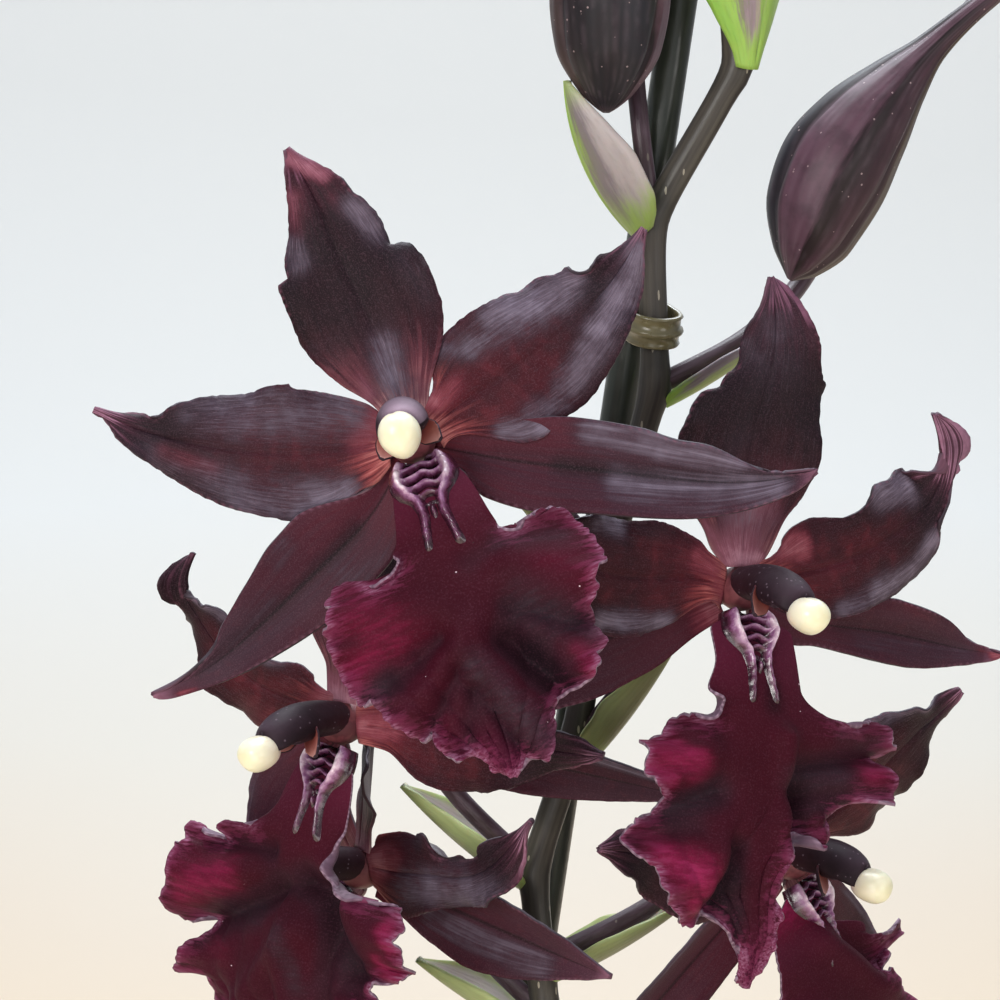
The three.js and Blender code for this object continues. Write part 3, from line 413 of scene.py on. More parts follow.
def lip_face():
    skin = Skin("lip_face", 0.56, 0.05, 0.02, "#b48aa8").on_blade()
    rays = skin.streaks(55, 9, 0.36, 0.68)
    thin_rays = skin.streaks(160, 22, 0.4, 0.66)
    fine = skin.noise(5000, 2)
    open_part = skin.along.spread(0.24, 0.34)
    skin.colour = skin.along.ramp({0: "#5e2238", 0.12: "#52192d", 0.24: "#41111f", 0.4: "#3a0d19",
                                   0.8: "#3b0d1b", 1: "#46102a"})
    skin.wash(skin.side.spread(0.2, 0.9) * open_part * 0.5, "#431222")
    skin.wash(skin.blots(110, 0.3, 0.74) * 0.22, "#27121b")
    # Painted shade, glow and slate sheen along the lip's strokes, the sheen a little weaker.
    skin.slate = skin.slate * 0.8
    skin.sheen_glow_shade(rays * 0.5 + 0.2, LIP_PAINTED_SHEEN, LIP_GLOW, "#150d12")
    # Painted shade in the fold valleys: dark slate where a fold sinks, near black where it sinks deepest.
    skin.wash(skin.fold.spread(0.5, 0.32) * open_part * 0.4, "#2a2028")
    skin.wash(skin.fold.spread(0.36, 0.1) * open_part * 0.45, "#150e13")
    reach = rays * 0.24 + (thin_rays * 0.12 + 0.04)
    hem = skin.hem.spread(reach, 0) * open_part * skin.slate.spread(0.2, 0.7, 1, 0.25)
    skin.wash(hem * 0.65, "#7a2f50")
    # Painted highlights: pale streaks on the pleats just inside the margin.
    skin.wash(skin.hem.spread(0.1, 0) * (thin_rays * hem) * 0.75, "#a0708c")
    skin.wash(skin.hem.spread(0.025, 0) * open_part * 0.35, "#94647c")
    skin.wash(fine.spread(0.45, 0.8, 0, 0.16), "#7a4a5c")
    skin.wash(skin.specks(620, 0.06, 0.1), "#e0c4d0")
    return skin.done(thin_rays * 0.35 + fine, 0.35, 0.00014)


def lip_back():
    skin = Skin("lip_back", 0.5, 0.25, 0.06, "#c0a8b8").on_blade()
    rays = skin.streaks(60, 9, 0.38, 0.66)
    skin.colour = skin.hem.ramp({0: "#a5889a", 0.03: "#6b5062", 0.2: "#54404e", 1: "#45303d"})
    skin.wash(rays * 0.4, "#4c3845")
    return skin.done(rays, 0.25, 0.0001)


LIP_FACE, LIP_BACK = lip_face(), lip_back()

# %% [markdown]
# ## Meshes from rows of points
# A petal is thin, but it is a solid with two faces and a margin. Each is computed as one sheet of points
# from foot to tip, moved half its thickness to each side, so it closes without a modifier and its rows
# and columns become its UV map. Numpy keeps this quick for many thousand points.

# %% Make a piece that rides on the plant and stands for its solid
def piece(name, points, faces, materials, node, maps=(None,), tags=None):
    mesh = bpy.data.meshes.new(name)
    mesh.from_pydata(np.asarray(points) * MM, [], faces)
    for material in materials:
        mesh.materials.append(material)
    if tags is not None:
        mesh.polygons.foreach_set("material_index", np.asarray(tags, np.int32))
    corner = np.empty(len(mesh.loops), np.int32)
    mesh.loops.foreach_get("vertex_index", corner)
    for label, places in zip(("blade", "form", "sheen_and_glow"), maps):
        mesh.uv_layers.new(name=label)
        if places is not None:
            mesh.uv_layers[label].uv.foreach_set("vector", np.asarray(places, np.float32)[corner].ravel())
    mesh.polygons.foreach_set("use_smooth", np.ones(len(mesh.polygons), bool))
    mesh.validate()
    made = bpy.data.objects.new(name, mesh)
    scene.collection.objects.link(made)
    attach(made, "root")
    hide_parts(node)
    return made


# %% A smooth curve through rows of numbers, with no overshoot
def between(t, start, end, leave, arrive):
    """A cubic step from start to end, leaving and arriving with the given slopes."""
    return (start * (2 * t**3 - 3 * t**2 + 1) + leave * (t**3 - 2 * t**2 + t)
            + end * (3 * t**2 - 2 * t**3) + arrive * (t**3 - t**2))


def through(rows, at):
    rows = np.asarray(rows, float)
    x, y = rows[:, 0], rows[:, 1:]
    rise = np.diff(y, axis=0) / np.diff(x)[:, None]
    slope = np.vstack([rise[:1], rise])
    before, after = rise[:-1], rise[1:]
    total = np.where(before + after == 0, 1, before + after)
    slope[1:-1] = np.where(before * after > 0, 2 * before * after / total, 0)
    at = np.clip(np.asarray(at, float), x[0], x[-1])
    k = np.clip(np.searchsorted(x, at, side="right") - 1, 0, len(x) - 2)
    step = (x[k + 1] - x[k])[..., None]
    t = (at - x[k])[..., None] / step
    return between(t, y[k], y[k + 1], step * slope[k], step * slope[k + 1])


def smooth(x):
    x = np.clip(x, 0, 1)
    return x * x * (3 - 2 * x)


def wobble(seed, x, waves):
    """Seeded noise along a line, about -1 to 1."""
    draw = np.random.default_rng(seed)
    total = 0
    for _ in range(5):
        total = total + draw.uniform(0.4, 1) * np.sin(
            2 * np.pi * (waves * draw.uniform(0.5, 1.6) * x + draw.uniform()))
    return total / 2.4


# %% The spine of a blade: it leans, bends, sways and twists on its way to the tip
def unit(vector):
    return vector / np.linalg.norm(vector, axis=-1, keepdims=True)


def turned(vector, axis, angle):
    return (vector * math.cos(angle) + np.cross(axis, vector) * math.sin(angle)
            + axis * np.dot(axis, vector) * (1 - math.cos(angle)))


def spine(blade, axes, centre, steps=80):
    x, y, z = axes
    a = rad(blade.get("at", 0))
    t = -math.sin(a) * x + math.cos(a) * y
    b = math.cos(a) * x + math.sin(a) * y
    n = z.copy()
    p = np.array(centre, float) + blade.get("start", 0) * t + blade.get("lift", 0) * n
    lean = rad(blade.get("tilt", 0))
    t, n = turned(t, b, lean), turned(n, b, lean)

    def total(u, name):
        late = u - 0.7
        return blade.get(name, 0) * u + blade.get(name + "_tip", 0) * float(smooth(late / 0.3))

    rows = [(p.copy(), t.copy(), b.copy(), n.copy())]
    for k in range(1, steps + 1):
        bend, sway, twist = (rad(total(k / steps, name) - total((k - 1) / steps, name))
                             for name in ("bend", "sway", "twist"))
        t, n = turned(t, b, bend), turned(n, b, bend)
        t, b = turned(t, n, sway), turned(b, n, sway)
        b, n = turned(b, t, twist), turned(n, t, twist)
        p = p + t * blade["length"] / steps
        rows.append((p.copy(), t.copy(), b.copy(), n.copy()))
    return [np.array(column) for column in zip(*rows)]


def on_spine(frames, share):
    """Point, side and face directions at any share of the spine."""
    steps = len(frames[0]) - 1
    k = np.asarray(share) * steps
    i = np.clip(np.floor(k).astype(int), 0, steps - 1)
    f = (k - i)[..., None]
    return [column[i] * (1 - f) + column[i + 1] * f for column in (frames[0], frames[2], frames[3])]


# %% [markdown]
# The margin needs the most care: scallops and small teeth, lobes that turn back to the claw, and places
# where it rolls over. A margin is a line of points from foot to tip on each side, in millimetres along
# and across the blade. Between the two lines the points settle like a net pulled flat. Teeth are
# measured along the line itself, so a tooth has the same size at the shoulder and at the tip.

# %% Margins, and the net of points between them
def margin(blade, sign):
    """One margin from foot to tip in equal steps, and how far its teeth move each point."""
    rows, lines = blade["rows"], blade.get("margins")
    u = np.linspace(0, 1, rows + 1)
    if lines:
        line = np.vstack([[0, sign * blade["outline"][0][-1]], np.reshape(lines[sign > 0], (-1, 2))])
    else:
        table = through(blade["outline"], u)
        share = table[:, 0] if table.shape[1] == 3 else u
        half = table[:, -1]
        if (sign < 0) != blade.get("mirror", False):
            half = table[:, -2] * blade.get("left", 1)
        line = np.stack([share * blade["length"], sign * half * blade.get("width", 1)], -1)
    run = np.concatenate([[0], np.cumsum(np.hypot(*np.diff(line, axis=0).T))])
    at = run[-1] * u
    even = through(np.column_stack([run, line]), at)
    if lines:
        even[-1, 1] += sign * 0.25
    step = np.gradient(even, axis=0)
    step /= np.maximum(np.linalg.norm(step, axis=1, keepdims=True), 1e-9)
    seed = blade.get("seed", 1) * 7 + (3 if sign > 0 else 5)
    moved = np.zeros(rows + 1)
    for k, (pitch, depth) in enumerate(blade.get("teeth", ())[1 if lines else 0:]):
        phase = at / pitch + 0.35 * wobble(seed + k, at / pitch, 0.3)
        size = 0.65 + 0.35 * wobble(seed + 20 + k, at / pitch, 0.23)
        moved += depth * size * (np.abs(np.sin(np.pi * phase)) - 0.6)
    moved *= smooth((u - blade.get("free_from", 0.15)) / 0.12)
    return even, np.stack([-step[:, 1], step[:, 0]], -1) * (sign * moved)[:, None]


def net(blade):
    """Places on the flat blade in rows and columns, and its two margins."""
    v = np.linspace(-1, 1, blade["columns"] + 1)[None, :, None]
    (low, low_teeth), (high, high_teeth) = margin(blade, -1), margin(blade, 1)
    flat = low[:, None] * (1 - v) / 2 + high[:, None] * (1 + v) / 2
    for _ in range(300 if blade.get("margins") else 0):
        flat[1:-1, 1:-1] = (flat[2:, 1:-1] + flat[:-2, 1:-1] + flat[1:-1, 2:] + flat[1:-1, :-2]) / 4
    grip = np.abs(v) ** blade.get("grip", 9)
    flat = flat + grip * ((v < 0) * low_teeth[:, None] + (v > 0) * high_teeth[:, None])
    return flat, low, high


# %% One blade as a sheet of points: margins rolled over, then cupped, ruffled and folded
def far_from(flat, line):
    """How far each point of the sheet lies from a line between two places."""
    start, way = np.array(line[:2]), np.subtract(line[2:], line[:2])
    t = np.clip((flat - start) @ way / max(way @ way, 0.01), 0, 1)
    return np.linalg.norm(flat - start - t[..., None] * way, axis=-1)


def strokes(blade, kind, numbers):
    """The blade's own folds, rolls or touches, each so many numbers."""
    return np.reshape(blade.get(kind, ()), (-1, numbers))


def sheet(blade, frames):
    rows, columns = blade["rows"], blade["columns"]
    u = np.linspace(0, 1, rows + 1)[:, None]
    v = np.linspace(-1, 1, columns + 1)[None, :]
    side = np.abs(v)
    flat, low, high = net(blade)
    half = np.linalg.norm(high - low, axis=1)[:, None] / 2
    lift = np.zeros((rows + 1, columns + 1))
    depth = np.zeros_like(lift)
    hem = np.full_like(lift, 99)
    for point in np.vstack([low, high])[::2]:
        hem = np.minimum(hem, np.hypot(*np.moveaxis(flat - point, -1, 0)))
    for x, y, width, angle in strokes(blade, "rolls", 4):
        line = high if y > 0 else low
        step = np.linalg.norm(line[1] - line[0])
        apart = np.arange(rows + 1) - np.argmin(np.hypot(*(line - [x, y]).T))
        curl = rad(angle) * np.exp(-(apart * step / width) ** 2)[:, None]
        t = np.clip((side - 0.8) / 0.2, 0, 1) * (v * y > 0)
        near = flat[:, round((1 + math.copysign(0.8, y)) / 2 * columns)][:, None]
        reach = flat[:, -1 if y > 0 else 0][:, None] - near
        forward = (t * np.sinc(curl * t / np.pi))[..., None]
        flat = np.where(t[..., None] > 0, near + reach * forward, flat)
        lift += np.linalg.norm(reach, axis=-1) * t * np.sin(curl * t / 2) * np.sinc(curl * t / 2 / np.pi)
    along = flat[..., 0] / blade["length"]
    full = np.clip(along, 0, 1)
    p, b, n = on_spine(frames, along)
    folded = blade.get("keel", 0) + blade.get("fold", 0) * (1 - smooth(full / 0.35))
    lift += half * (blade.get("cup", 0) * side**2 + folded * (np.sqrt(side**2 + 0.02) - 0.1414))
    free = smooth((full - 0.18) / 0.2) * (1 - 0.5 * smooth((full - 0.85) / 0.15))
    phase = blade.get("phase", 0) + np.where(v < 0, 0, 2.2)
    lift += blade.get("ruffle", 0) * free * side**2.5 * np.sin(
        2 * np.pi * blade.get("waves", 3) * u + phase)
    seed = blade.get("seed", 1)
    left, right = (wobble(seed + k, u, blade.get("ripples", 9)) for k in (50, 51))
    depth += blade.get("ripple", 0) * free * side**5 * np.where(v < 0, left, right)
    for at, width, deep in blade.get("creases", ()):
        depth -= deep * np.exp(-((v - at) / width) ** 2) * smooth((full - 0.4) / 0.25) * (
            1 - 0.6 * smooth((full - 0.85) / 0.15))
    for *line, width, height in strokes(blade, "folds", 6):
        depth += height * np.exp(-(far_from(flat, line) / width) ** 2)
    # Painted light: each stroke gives a share of painted slate sheen, and glow above nothing or painted shade
    # below it. Without strokes, sheen is painted on the side that faces up, glow at the foot.
    slate, glow, shade = np.zeros((3,) + depth.shape)
    for *line, width, sheen_share, warm in strokes(blade, "sheen_glow_shade", 7):
        near = np.exp(-(far_from(flat, line) / (2.2 * width)) ** 2)
        slate = np.maximum(slate, 0.85 * sheen_share * near)
        glow, shade = np.maximum(glow, 0.8 * warm * near), np.minimum(shade, 0.8 * warm * near)
    glow = glow + shade
    if "sheen_glow_shade" not in blade:
        up = smooth((v * np.moveaxis(b, -1, 0)[2] - 0.3) / 0.5) * smooth((full - 0.15) / 0.2)
        slate, glow = 0.75 * up * smooth((1 - full) / 0.2), 0.8 * smooth(1 - full / 0.2)
    lift += depth - blade.get("midrib", 0) * np.exp(-(v / 0.06) ** 2) * smooth(full / 0.1)
    points = p + b * flat[..., 1:] + n * lift[..., None]
    return (points, np.stack(np.broadcast_arrays(full, (v + 1) / 2), -1),
            np.stack([np.clip(0.5 + depth / 6, 0, 1), np.clip(hem / 10, 0, 1)], -1),
            np.stack([slate, 0.5 + glow / 2], -1))


# %% Close the sheet into a thin solid and make it a piece
def thick(points, thickness):
    """Both faces of a sheet: its points moved half the thickness to each side."""
    d_rows, d_columns = np.gradient(points, axis=0), np.gradient(points, axis=1)
    normal = np.cross(d_columns, d_rows)
    normal /= np.maximum(np.linalg.norm(normal, axis=-1, keepdims=True), 1e-9)
    side = np.abs(np.linspace(-1, 1, points.shape[1]))[None, :, None]
    half = thickness / 2 * (1 - 0.55 * side**3)
    return points + normal * half, points - normal * half


def closed_piece(name, top, under, maps, materials, slot, node):
    """A closed skin over two equal grids of points, with the same maps on both."""
    rows, columns = top.shape[:2]
    grid = np.arange(rows * columns).reshape(rows, columns)
    p, q, r, s = (part.ravel() for part in (grid[:-1, :-1], grid[:-1, 1:], grid[1:, 1:], grid[1:, :-1]))
    loop = np.concatenate([grid[0, :-1], grid[:-1, -1], grid[-1, :0:-1], grid[:0:-1, 0]])
    after = np.roll(loop, -1)
    faces = np.vstack([np.stack([p, q, r, s], -1), np.stack([p, s, r, q], -1) + grid.size,
                       np.stack([loop, loop + grid.size, after + grid.size, after], -1)]).tolist()
    tags = np.arange(len(faces)) >= p.size if len(materials) > 1 else None
    points = np.vstack([top.reshape(-1, 3), under.reshape(-1, 3)])
    maps = [np.vstack([places.reshape(-1, 2)] * 2) for places in maps]
    return piece(name, points, faces, materials, node, maps, tags)


def blade_piece(name, blade, axes, centre, materials, slot, node):
    points, *maps = sheet(blade, spine(blade, axes, centre))
    closed_piece(name, *thick(points, blade["thick"]), maps, materials, slot, node)


# %% [markdown]
# ## Round forms
# Stems, stalks, buds and bulbs are skins over rings. The rings follow a smooth curve, and a function of
# angle and share gives ribs and seams. Each face corner gets its own place on the UV map, so streaks
# run round without a smeared seam.

# %% A closed skin over rings, and the same curve through points as the solids have
def loft(rings):
    rings = np.asarray(rings, float)
    count, sides = rings.shape[:2]
    points = np.vstack([rings.reshape(-1, 3), rings[0].mean(0), rings[-1].mean(0)])
    faces, places = [], []
    foot = count * sides
    for k in range(sides):
        after = (k + 1) % sides
        low, high = k / sides, (k + 1) / sides
        for i in range(count - 1):
            faces.append((i * sides + k, i * sides + after, (i + 1) * sides + after, (i + 1) * sides + k))
            near, far = i / (count - 1), (i + 1) / (count - 1)
            places += [(near, low), (near, high), (far, high), (far, low)]
        faces.append((foot, after, k))
        places += [(0, low), (0, high), (0, low)]
        faces.append((foot + 1, foot - sides + k, foot - sides + after))
        places += [(1, low), (1, low), (1, high)]
    return points, faces, places


def joined(parts):
    points, faces, places = [], [], []
    base = 0
    for some_points, some_faces, some_places in parts:
        points.append(some_points)
        faces += [tuple(base + k for k in face) for face in some_faces]
        places += some_places
        base += len(some_points)
    return np.vstack(points), faces, places


def round_piece(name, skin, material, node):
    points, faces, places = skin
    made = piece(name, points, faces, [material], node)
    made.data.uv_layers["blade"].uv.foreach_set("vector", np.asarray(places, np.float32).ravel())
    return made


def curve(points, steps_each=8):
    """Centripetal Catmull-Rom curve: its points, and its place counted in given points."""
    points = np.asarray(points, float)
    padded = np.vstack([2 * points[0] - points[1], points, 2 * points[-1] - points[-2]])
    made, places = [], []
    for i in range(len(points) - 1):
        a, b, c, d = padded[i:i + 4]
        gaps = [max(float(np.linalg.norm(q - p)) ** 0.5, 1e-4) for p, q in ((a, b), (b, c), (c, d))]
        start = (b - a) / gaps[0] - (c - a) / (gaps[0] + gaps[1]) + (c - b) / gaps[1]
        end = (c - b) / gaps[1] - (d - b) / (gaps[1] + gaps[2]) + (d - c) / gaps[2]
        last = i == len(points) - 2
        for t in np.linspace(0, 1, steps_each + 1)[:None if last else -1]:
            made.append(between(t, b, c, start * gaps[1], end * gaps[1]))
            places.append(i + t)
    return np.array(made), np.array(places)


def level_way(heading):
    """A direction along the ground, from its heading in degrees."""
    return np.array([math.cos(rad(heading)), math.sin(rad(heading)), 0])


def around(sides):
    """The angles of a ring's points."""
    return 2 * np.pi * np.arange(sides) / sides


def ring(middle, x, y, wide, tall, angle):
    return middle + np.outer(wide * np.cos(angle), x) + np.outer(tall * np.sin(angle), y)


def tube(path, radius, sides, ribs=0.0, rib_count=3, turn=0.0):
    """Skin of a tube along a path; ribs swell it along its length."""
    path = np.asarray(path, float)
    forward = unit(np.gradient(path, axis=0))
    normal = np.cross([0.31, 0.83, 0.46], forward[0])
    size = np.broadcast_to(radius, len(path))
    rings = []
    for k, share in enumerate(np.linspace(0, 1, len(path))):
        normal = unit(normal - forward[k] * np.dot(normal, forward[k]))
        r = size[k] * (1 + ribs * np.cos(rib_count * around(sides) + turn * share))
        rings.append(ring(path[k], normal, np.cross(forward[k], normal), r, r, around(sides)))
    return loft(rings)


# %% [markdown]
# ## The blooms
# Every open flower has the same parts: an upper sepal, two petals, two lower sepals, a lip, and a column
# with a cream anther cap. One table gives each part's place round the face, and each flower adds its own
# bends, because no two open alike. The outlines carry the one-sided steps of the real margins.

# %% Outlines: share of the length, then the half width on each side, in millimetres
def even(shape, half=1):
    """An outline with the same half width on both sides."""
    return [[share, wide * half, wide * half] for share, wide in shape]


DORSAL = [[0, 2.4, 2.4], [0.12, 2.7, 2.7], [0.2, 4.4, 4.4], [0.3, 6.9, 6.6], [0.42, 8.4, 8.2],
          [0.5, 8.5, 8.7], [0.55, 8.2, 8.4], [0.58, 7.4, 7.4], [0.61, 6.6, 5.8], [0.7, 5.5, 5.4],
          [0.8, 4.2, 4.2], [0.9, 2.2, 2.5], [1, 0.25, 0.25]]
DORSAL_B = [[0, 2.4, 2.4], [0.12, 2.7, 2.7], [0.28, 5.6, 4.6], [0.43, 7.8, 6], [0.54, 8.4, 6.8],
            [0.6, 7.9, 7], [0.64, 5.6, 7], [0.67, 4.2, 6.8], [0.78, 4.1, 5.2], [0.9, 2.4, 2.8],
            [1, 0.3, 0.3]]
PETAL = [[0, 2.6, 2.6], [0.12, 3.2, 3.4], [0.22, 5.4, 6.4], [0.33, 6.8, 8], [0.44, 7, 8.3],
         [0.56, 6.4, 7.3], [0.68, 5.2, 5.6], [0.76, 4.4, 4.2], [0.8, 3, 3.4], [0.88, 2.1, 2.4],
         [1, 0.25, 0.25]]
LATERAL = even([[0, 2.6], [0.1, 3.2], [0.28, 5], [0.45, 5.7], [0.6, 5.2], [0.72, 4.1], [0.85, 2.3],
                [0.93, 1.2], [1, 0.2]])
LIP_CLAW = [[0, 0, 3, 3], [0.1, 0.09, 3.3, 3.3], [0.2, 0.18, 3.9, 3.9], [0.27, 0.25, 4.9, 4.9],
            [0.31, 0.27, 6.4, 6.4], [0.35, 0.235, 9, 9], [0.4, 0.225, 12, 12.4],
            [0.46, 0.265, 14.8, 15.8]]
LIP = LIP_CLAW + [[0.55, 0.38, 16.2, 17.2], [0.63, 0.49, 15.4, 16.4], [0.7, 0.59, 13.2, 14.4],
                  [0.78, 0.7, 12.6, 13.4], [0.86, 0.81, 10.4, 10.8], [0.94, 0.92, 6, 6.2], [1, 1, 1, 1]]
LIP_POINTED = LIP_CLAW + [[0.53, 0.37, 15.6, 16.6], [0.6, 0.47, 13, 15.2], [0.66, 0.55, 10.6, 13.6],
                          [0.72, 0.63, 9.6, 13.8], [0.78, 0.73, 6.6, 12], [0.84, 0.81, 5, 7.4],
                          [0.9, 0.88, 3.2, 3.8], [0.95, 0.95, 1.8, 1.8], [1, 1, 0.9, 0.9]]

# %% The parts of a bloom before it bends them
PETAL_BLADE = dict(length=31.5, outline=PETAL, cup=-0.14, keel=0.09, ruffle=1.1, waves=2.6, midrib=0.3)
LATERAL_BLADE = dict(length=39, outline=LATERAL, cup=0.05, keel=0.35, ruffle=0.3, waves=2, lift=-1.5,
                     ripple=0.12, teeth=((1.7, 0.06),))
TEPALS = dict(
    dorsal=dict(at=0, length=31.5, outline=DORSAL, cup=-0.12, keel=0.1, ruffle=0.9, waves=2.4, midrib=0.3),
    petal_l=dict(PETAL_BLADE, at=66, mirror=True), petal_r=dict(PETAL_BLADE, at=-66, phase=1.5),
    lateral_l=dict(LATERAL_BLADE, at=114), lateral_r=dict(LATERAL_BLADE, at=-114))
TEPAL_GRID = dict(start=2.5, rows=84, columns=30, thick=0.7, ripple=0.3, ripples=8,
                  teeth=((5.2, 0.35), (1.6, 0.16)))
LIP_BLADE = dict(
    at=180, start=3.3, length=38, outline=LIP, tilt=35, bend=-45, cup=-0.05, ruffle=1.2, waves=4.5, lift=1.6,
    rows=200, columns=76, thick=0.7, ripple=0.8, ripples=15, teeth=((5.6, 0.9), (1.5, 0.5)), grip=14,
    free_from=0.16, creases=((-0.34, 0.05, 0.35), (0.42, 0.05, 0.3), (0.2, 0.04, 0.25), (-0.62, 0.05, 0.3),
                             (0.66, 0.05, 0.3), (0, 0.03, 0.3)))
HUB = 3.2
COLUMN = dict(length=10.2, droop=0.5, arch=1.1, over=0, tall=1.95)
CAP = dict(wide=2.25, deep=2.5)
FIT = 0.3

# %% Each bloom: joint, centre, facing (turn, upward tilt, roll), the stalk's way and its own bends
BLOOMS = dict(
    bloom_1=dict(joint="a", at=[14.4, -27.1, 511.9], face=[-2, 10, 19], way=[[27, -5, 505], [17, -11, 510]],
            bends=dict(
        dorsal=dict(at=-5, sway=21, tilt=2, length=31),
        petal_l=dict(at=76, sway=-18, length=32, tilt=-2, bend=2),
        petal_r=dict(at=-76, sway=19, length=30.5),
        lateral_l=dict(at=127, sway=-22, length=37.5, width=0.88),
        lateral_r=dict(at=-123, sway=18, length=42.5, width=0.92),
        lip=dict(at=180.5, length=36, width=0.82, left=1.24),
        column=dict(droop=0, arch=1.5, over=-0.38, tall=2.4, wing=0.85))),
    bloom_2=dict(joint="b", at=[51.6, -14.5, 493.3], face=[32, 2, -5], way=[[41, -5, 483]], bends=dict(
        dorsal=dict(sway=-4, width=1.22, twist=-22, length=32, outline=DORSAL_B),
        petal_r=dict(at=-77, sway=14, length=32, tilt=6, sway_tip=60),
        petal_l=dict(at=84, sway=-8, tilt=-2),
        lateral_r=dict(at=-106, sway=6, length=40, width=0.75),
        lateral_l=dict(at=112, sway=-6, tilt=-10),
        lip=dict(at=176, length=42.5, width=1.06, left=1.08, outline=LIP_POINTED),
        column=dict(length=9.7, droop=1.5, arch=1))),
    bloom_3=dict(joint="c", at=[5.5, -9.8, 476.5], face=[-42, -2, 4], way=[[18, -3, 467]], bends=dict(
        dorsal=dict(at=-4, tilt=-5),
        petal_l=dict(at=47, tilt=16, length=28.5, twist_tip=60),
        petal_r=dict(at=-92, tilt=-15, sway=-6, width=0.85),
        lateral_l=dict(at=136, tilt=7, length=23),
        lateral_r=dict(at=-106, tilt=-32, sway=-2, length=41, width=0.64),
        lip=dict(at=176, width=1.16, left=0.93),
        column=dict(length=10.6, droop=0.75))),
    bloom_4=dict(joint="d", at=[6.9, 3.4, 455], face=[-62, -2, -8], way=[[20, -1, 448]], bends=dict(
        dorsal=dict(at=6, tilt=-6, length=23, twist=-60),
        petal_r=dict(at=-62, tilt=-20, sway=-10, length=27, width=1.12),
        petal_l=dict(at=62),
        lateral_r=dict(at=-98, tilt=-30, length=33),
        lateral_l=dict(at=130),
        lip=dict(at=180, rows=120, columns=48),
        column={})),
    bloom_5=dict(joint="e", at=[59.5, -0.4, 457.3], face=[52, -2, 4], way=[[43, -1, 452]], bends=dict(
        dorsal=dict(at=8, tilt=-12, length=28),
        petal_r=dict(at=-50, tilt=24, length=28),
        petal_l=dict(at=74, tilt=-15, length=29),
        lateral_l=dict(at=130, tilt=-20, sway=10),
        lateral_r=dict(at=-140),
        lip=dict(at=182, outline=LIP_POINTED, rows=130, columns=50),
        column=dict(length=8.6, droop=0.9))),
)

# %% [markdown]
# The blades that face the viewer have the steps, notches and lobes of the real ones. Each list runs from
# foot to tip, in millimetres along and across the blade: first the margin on its right, then on its left.

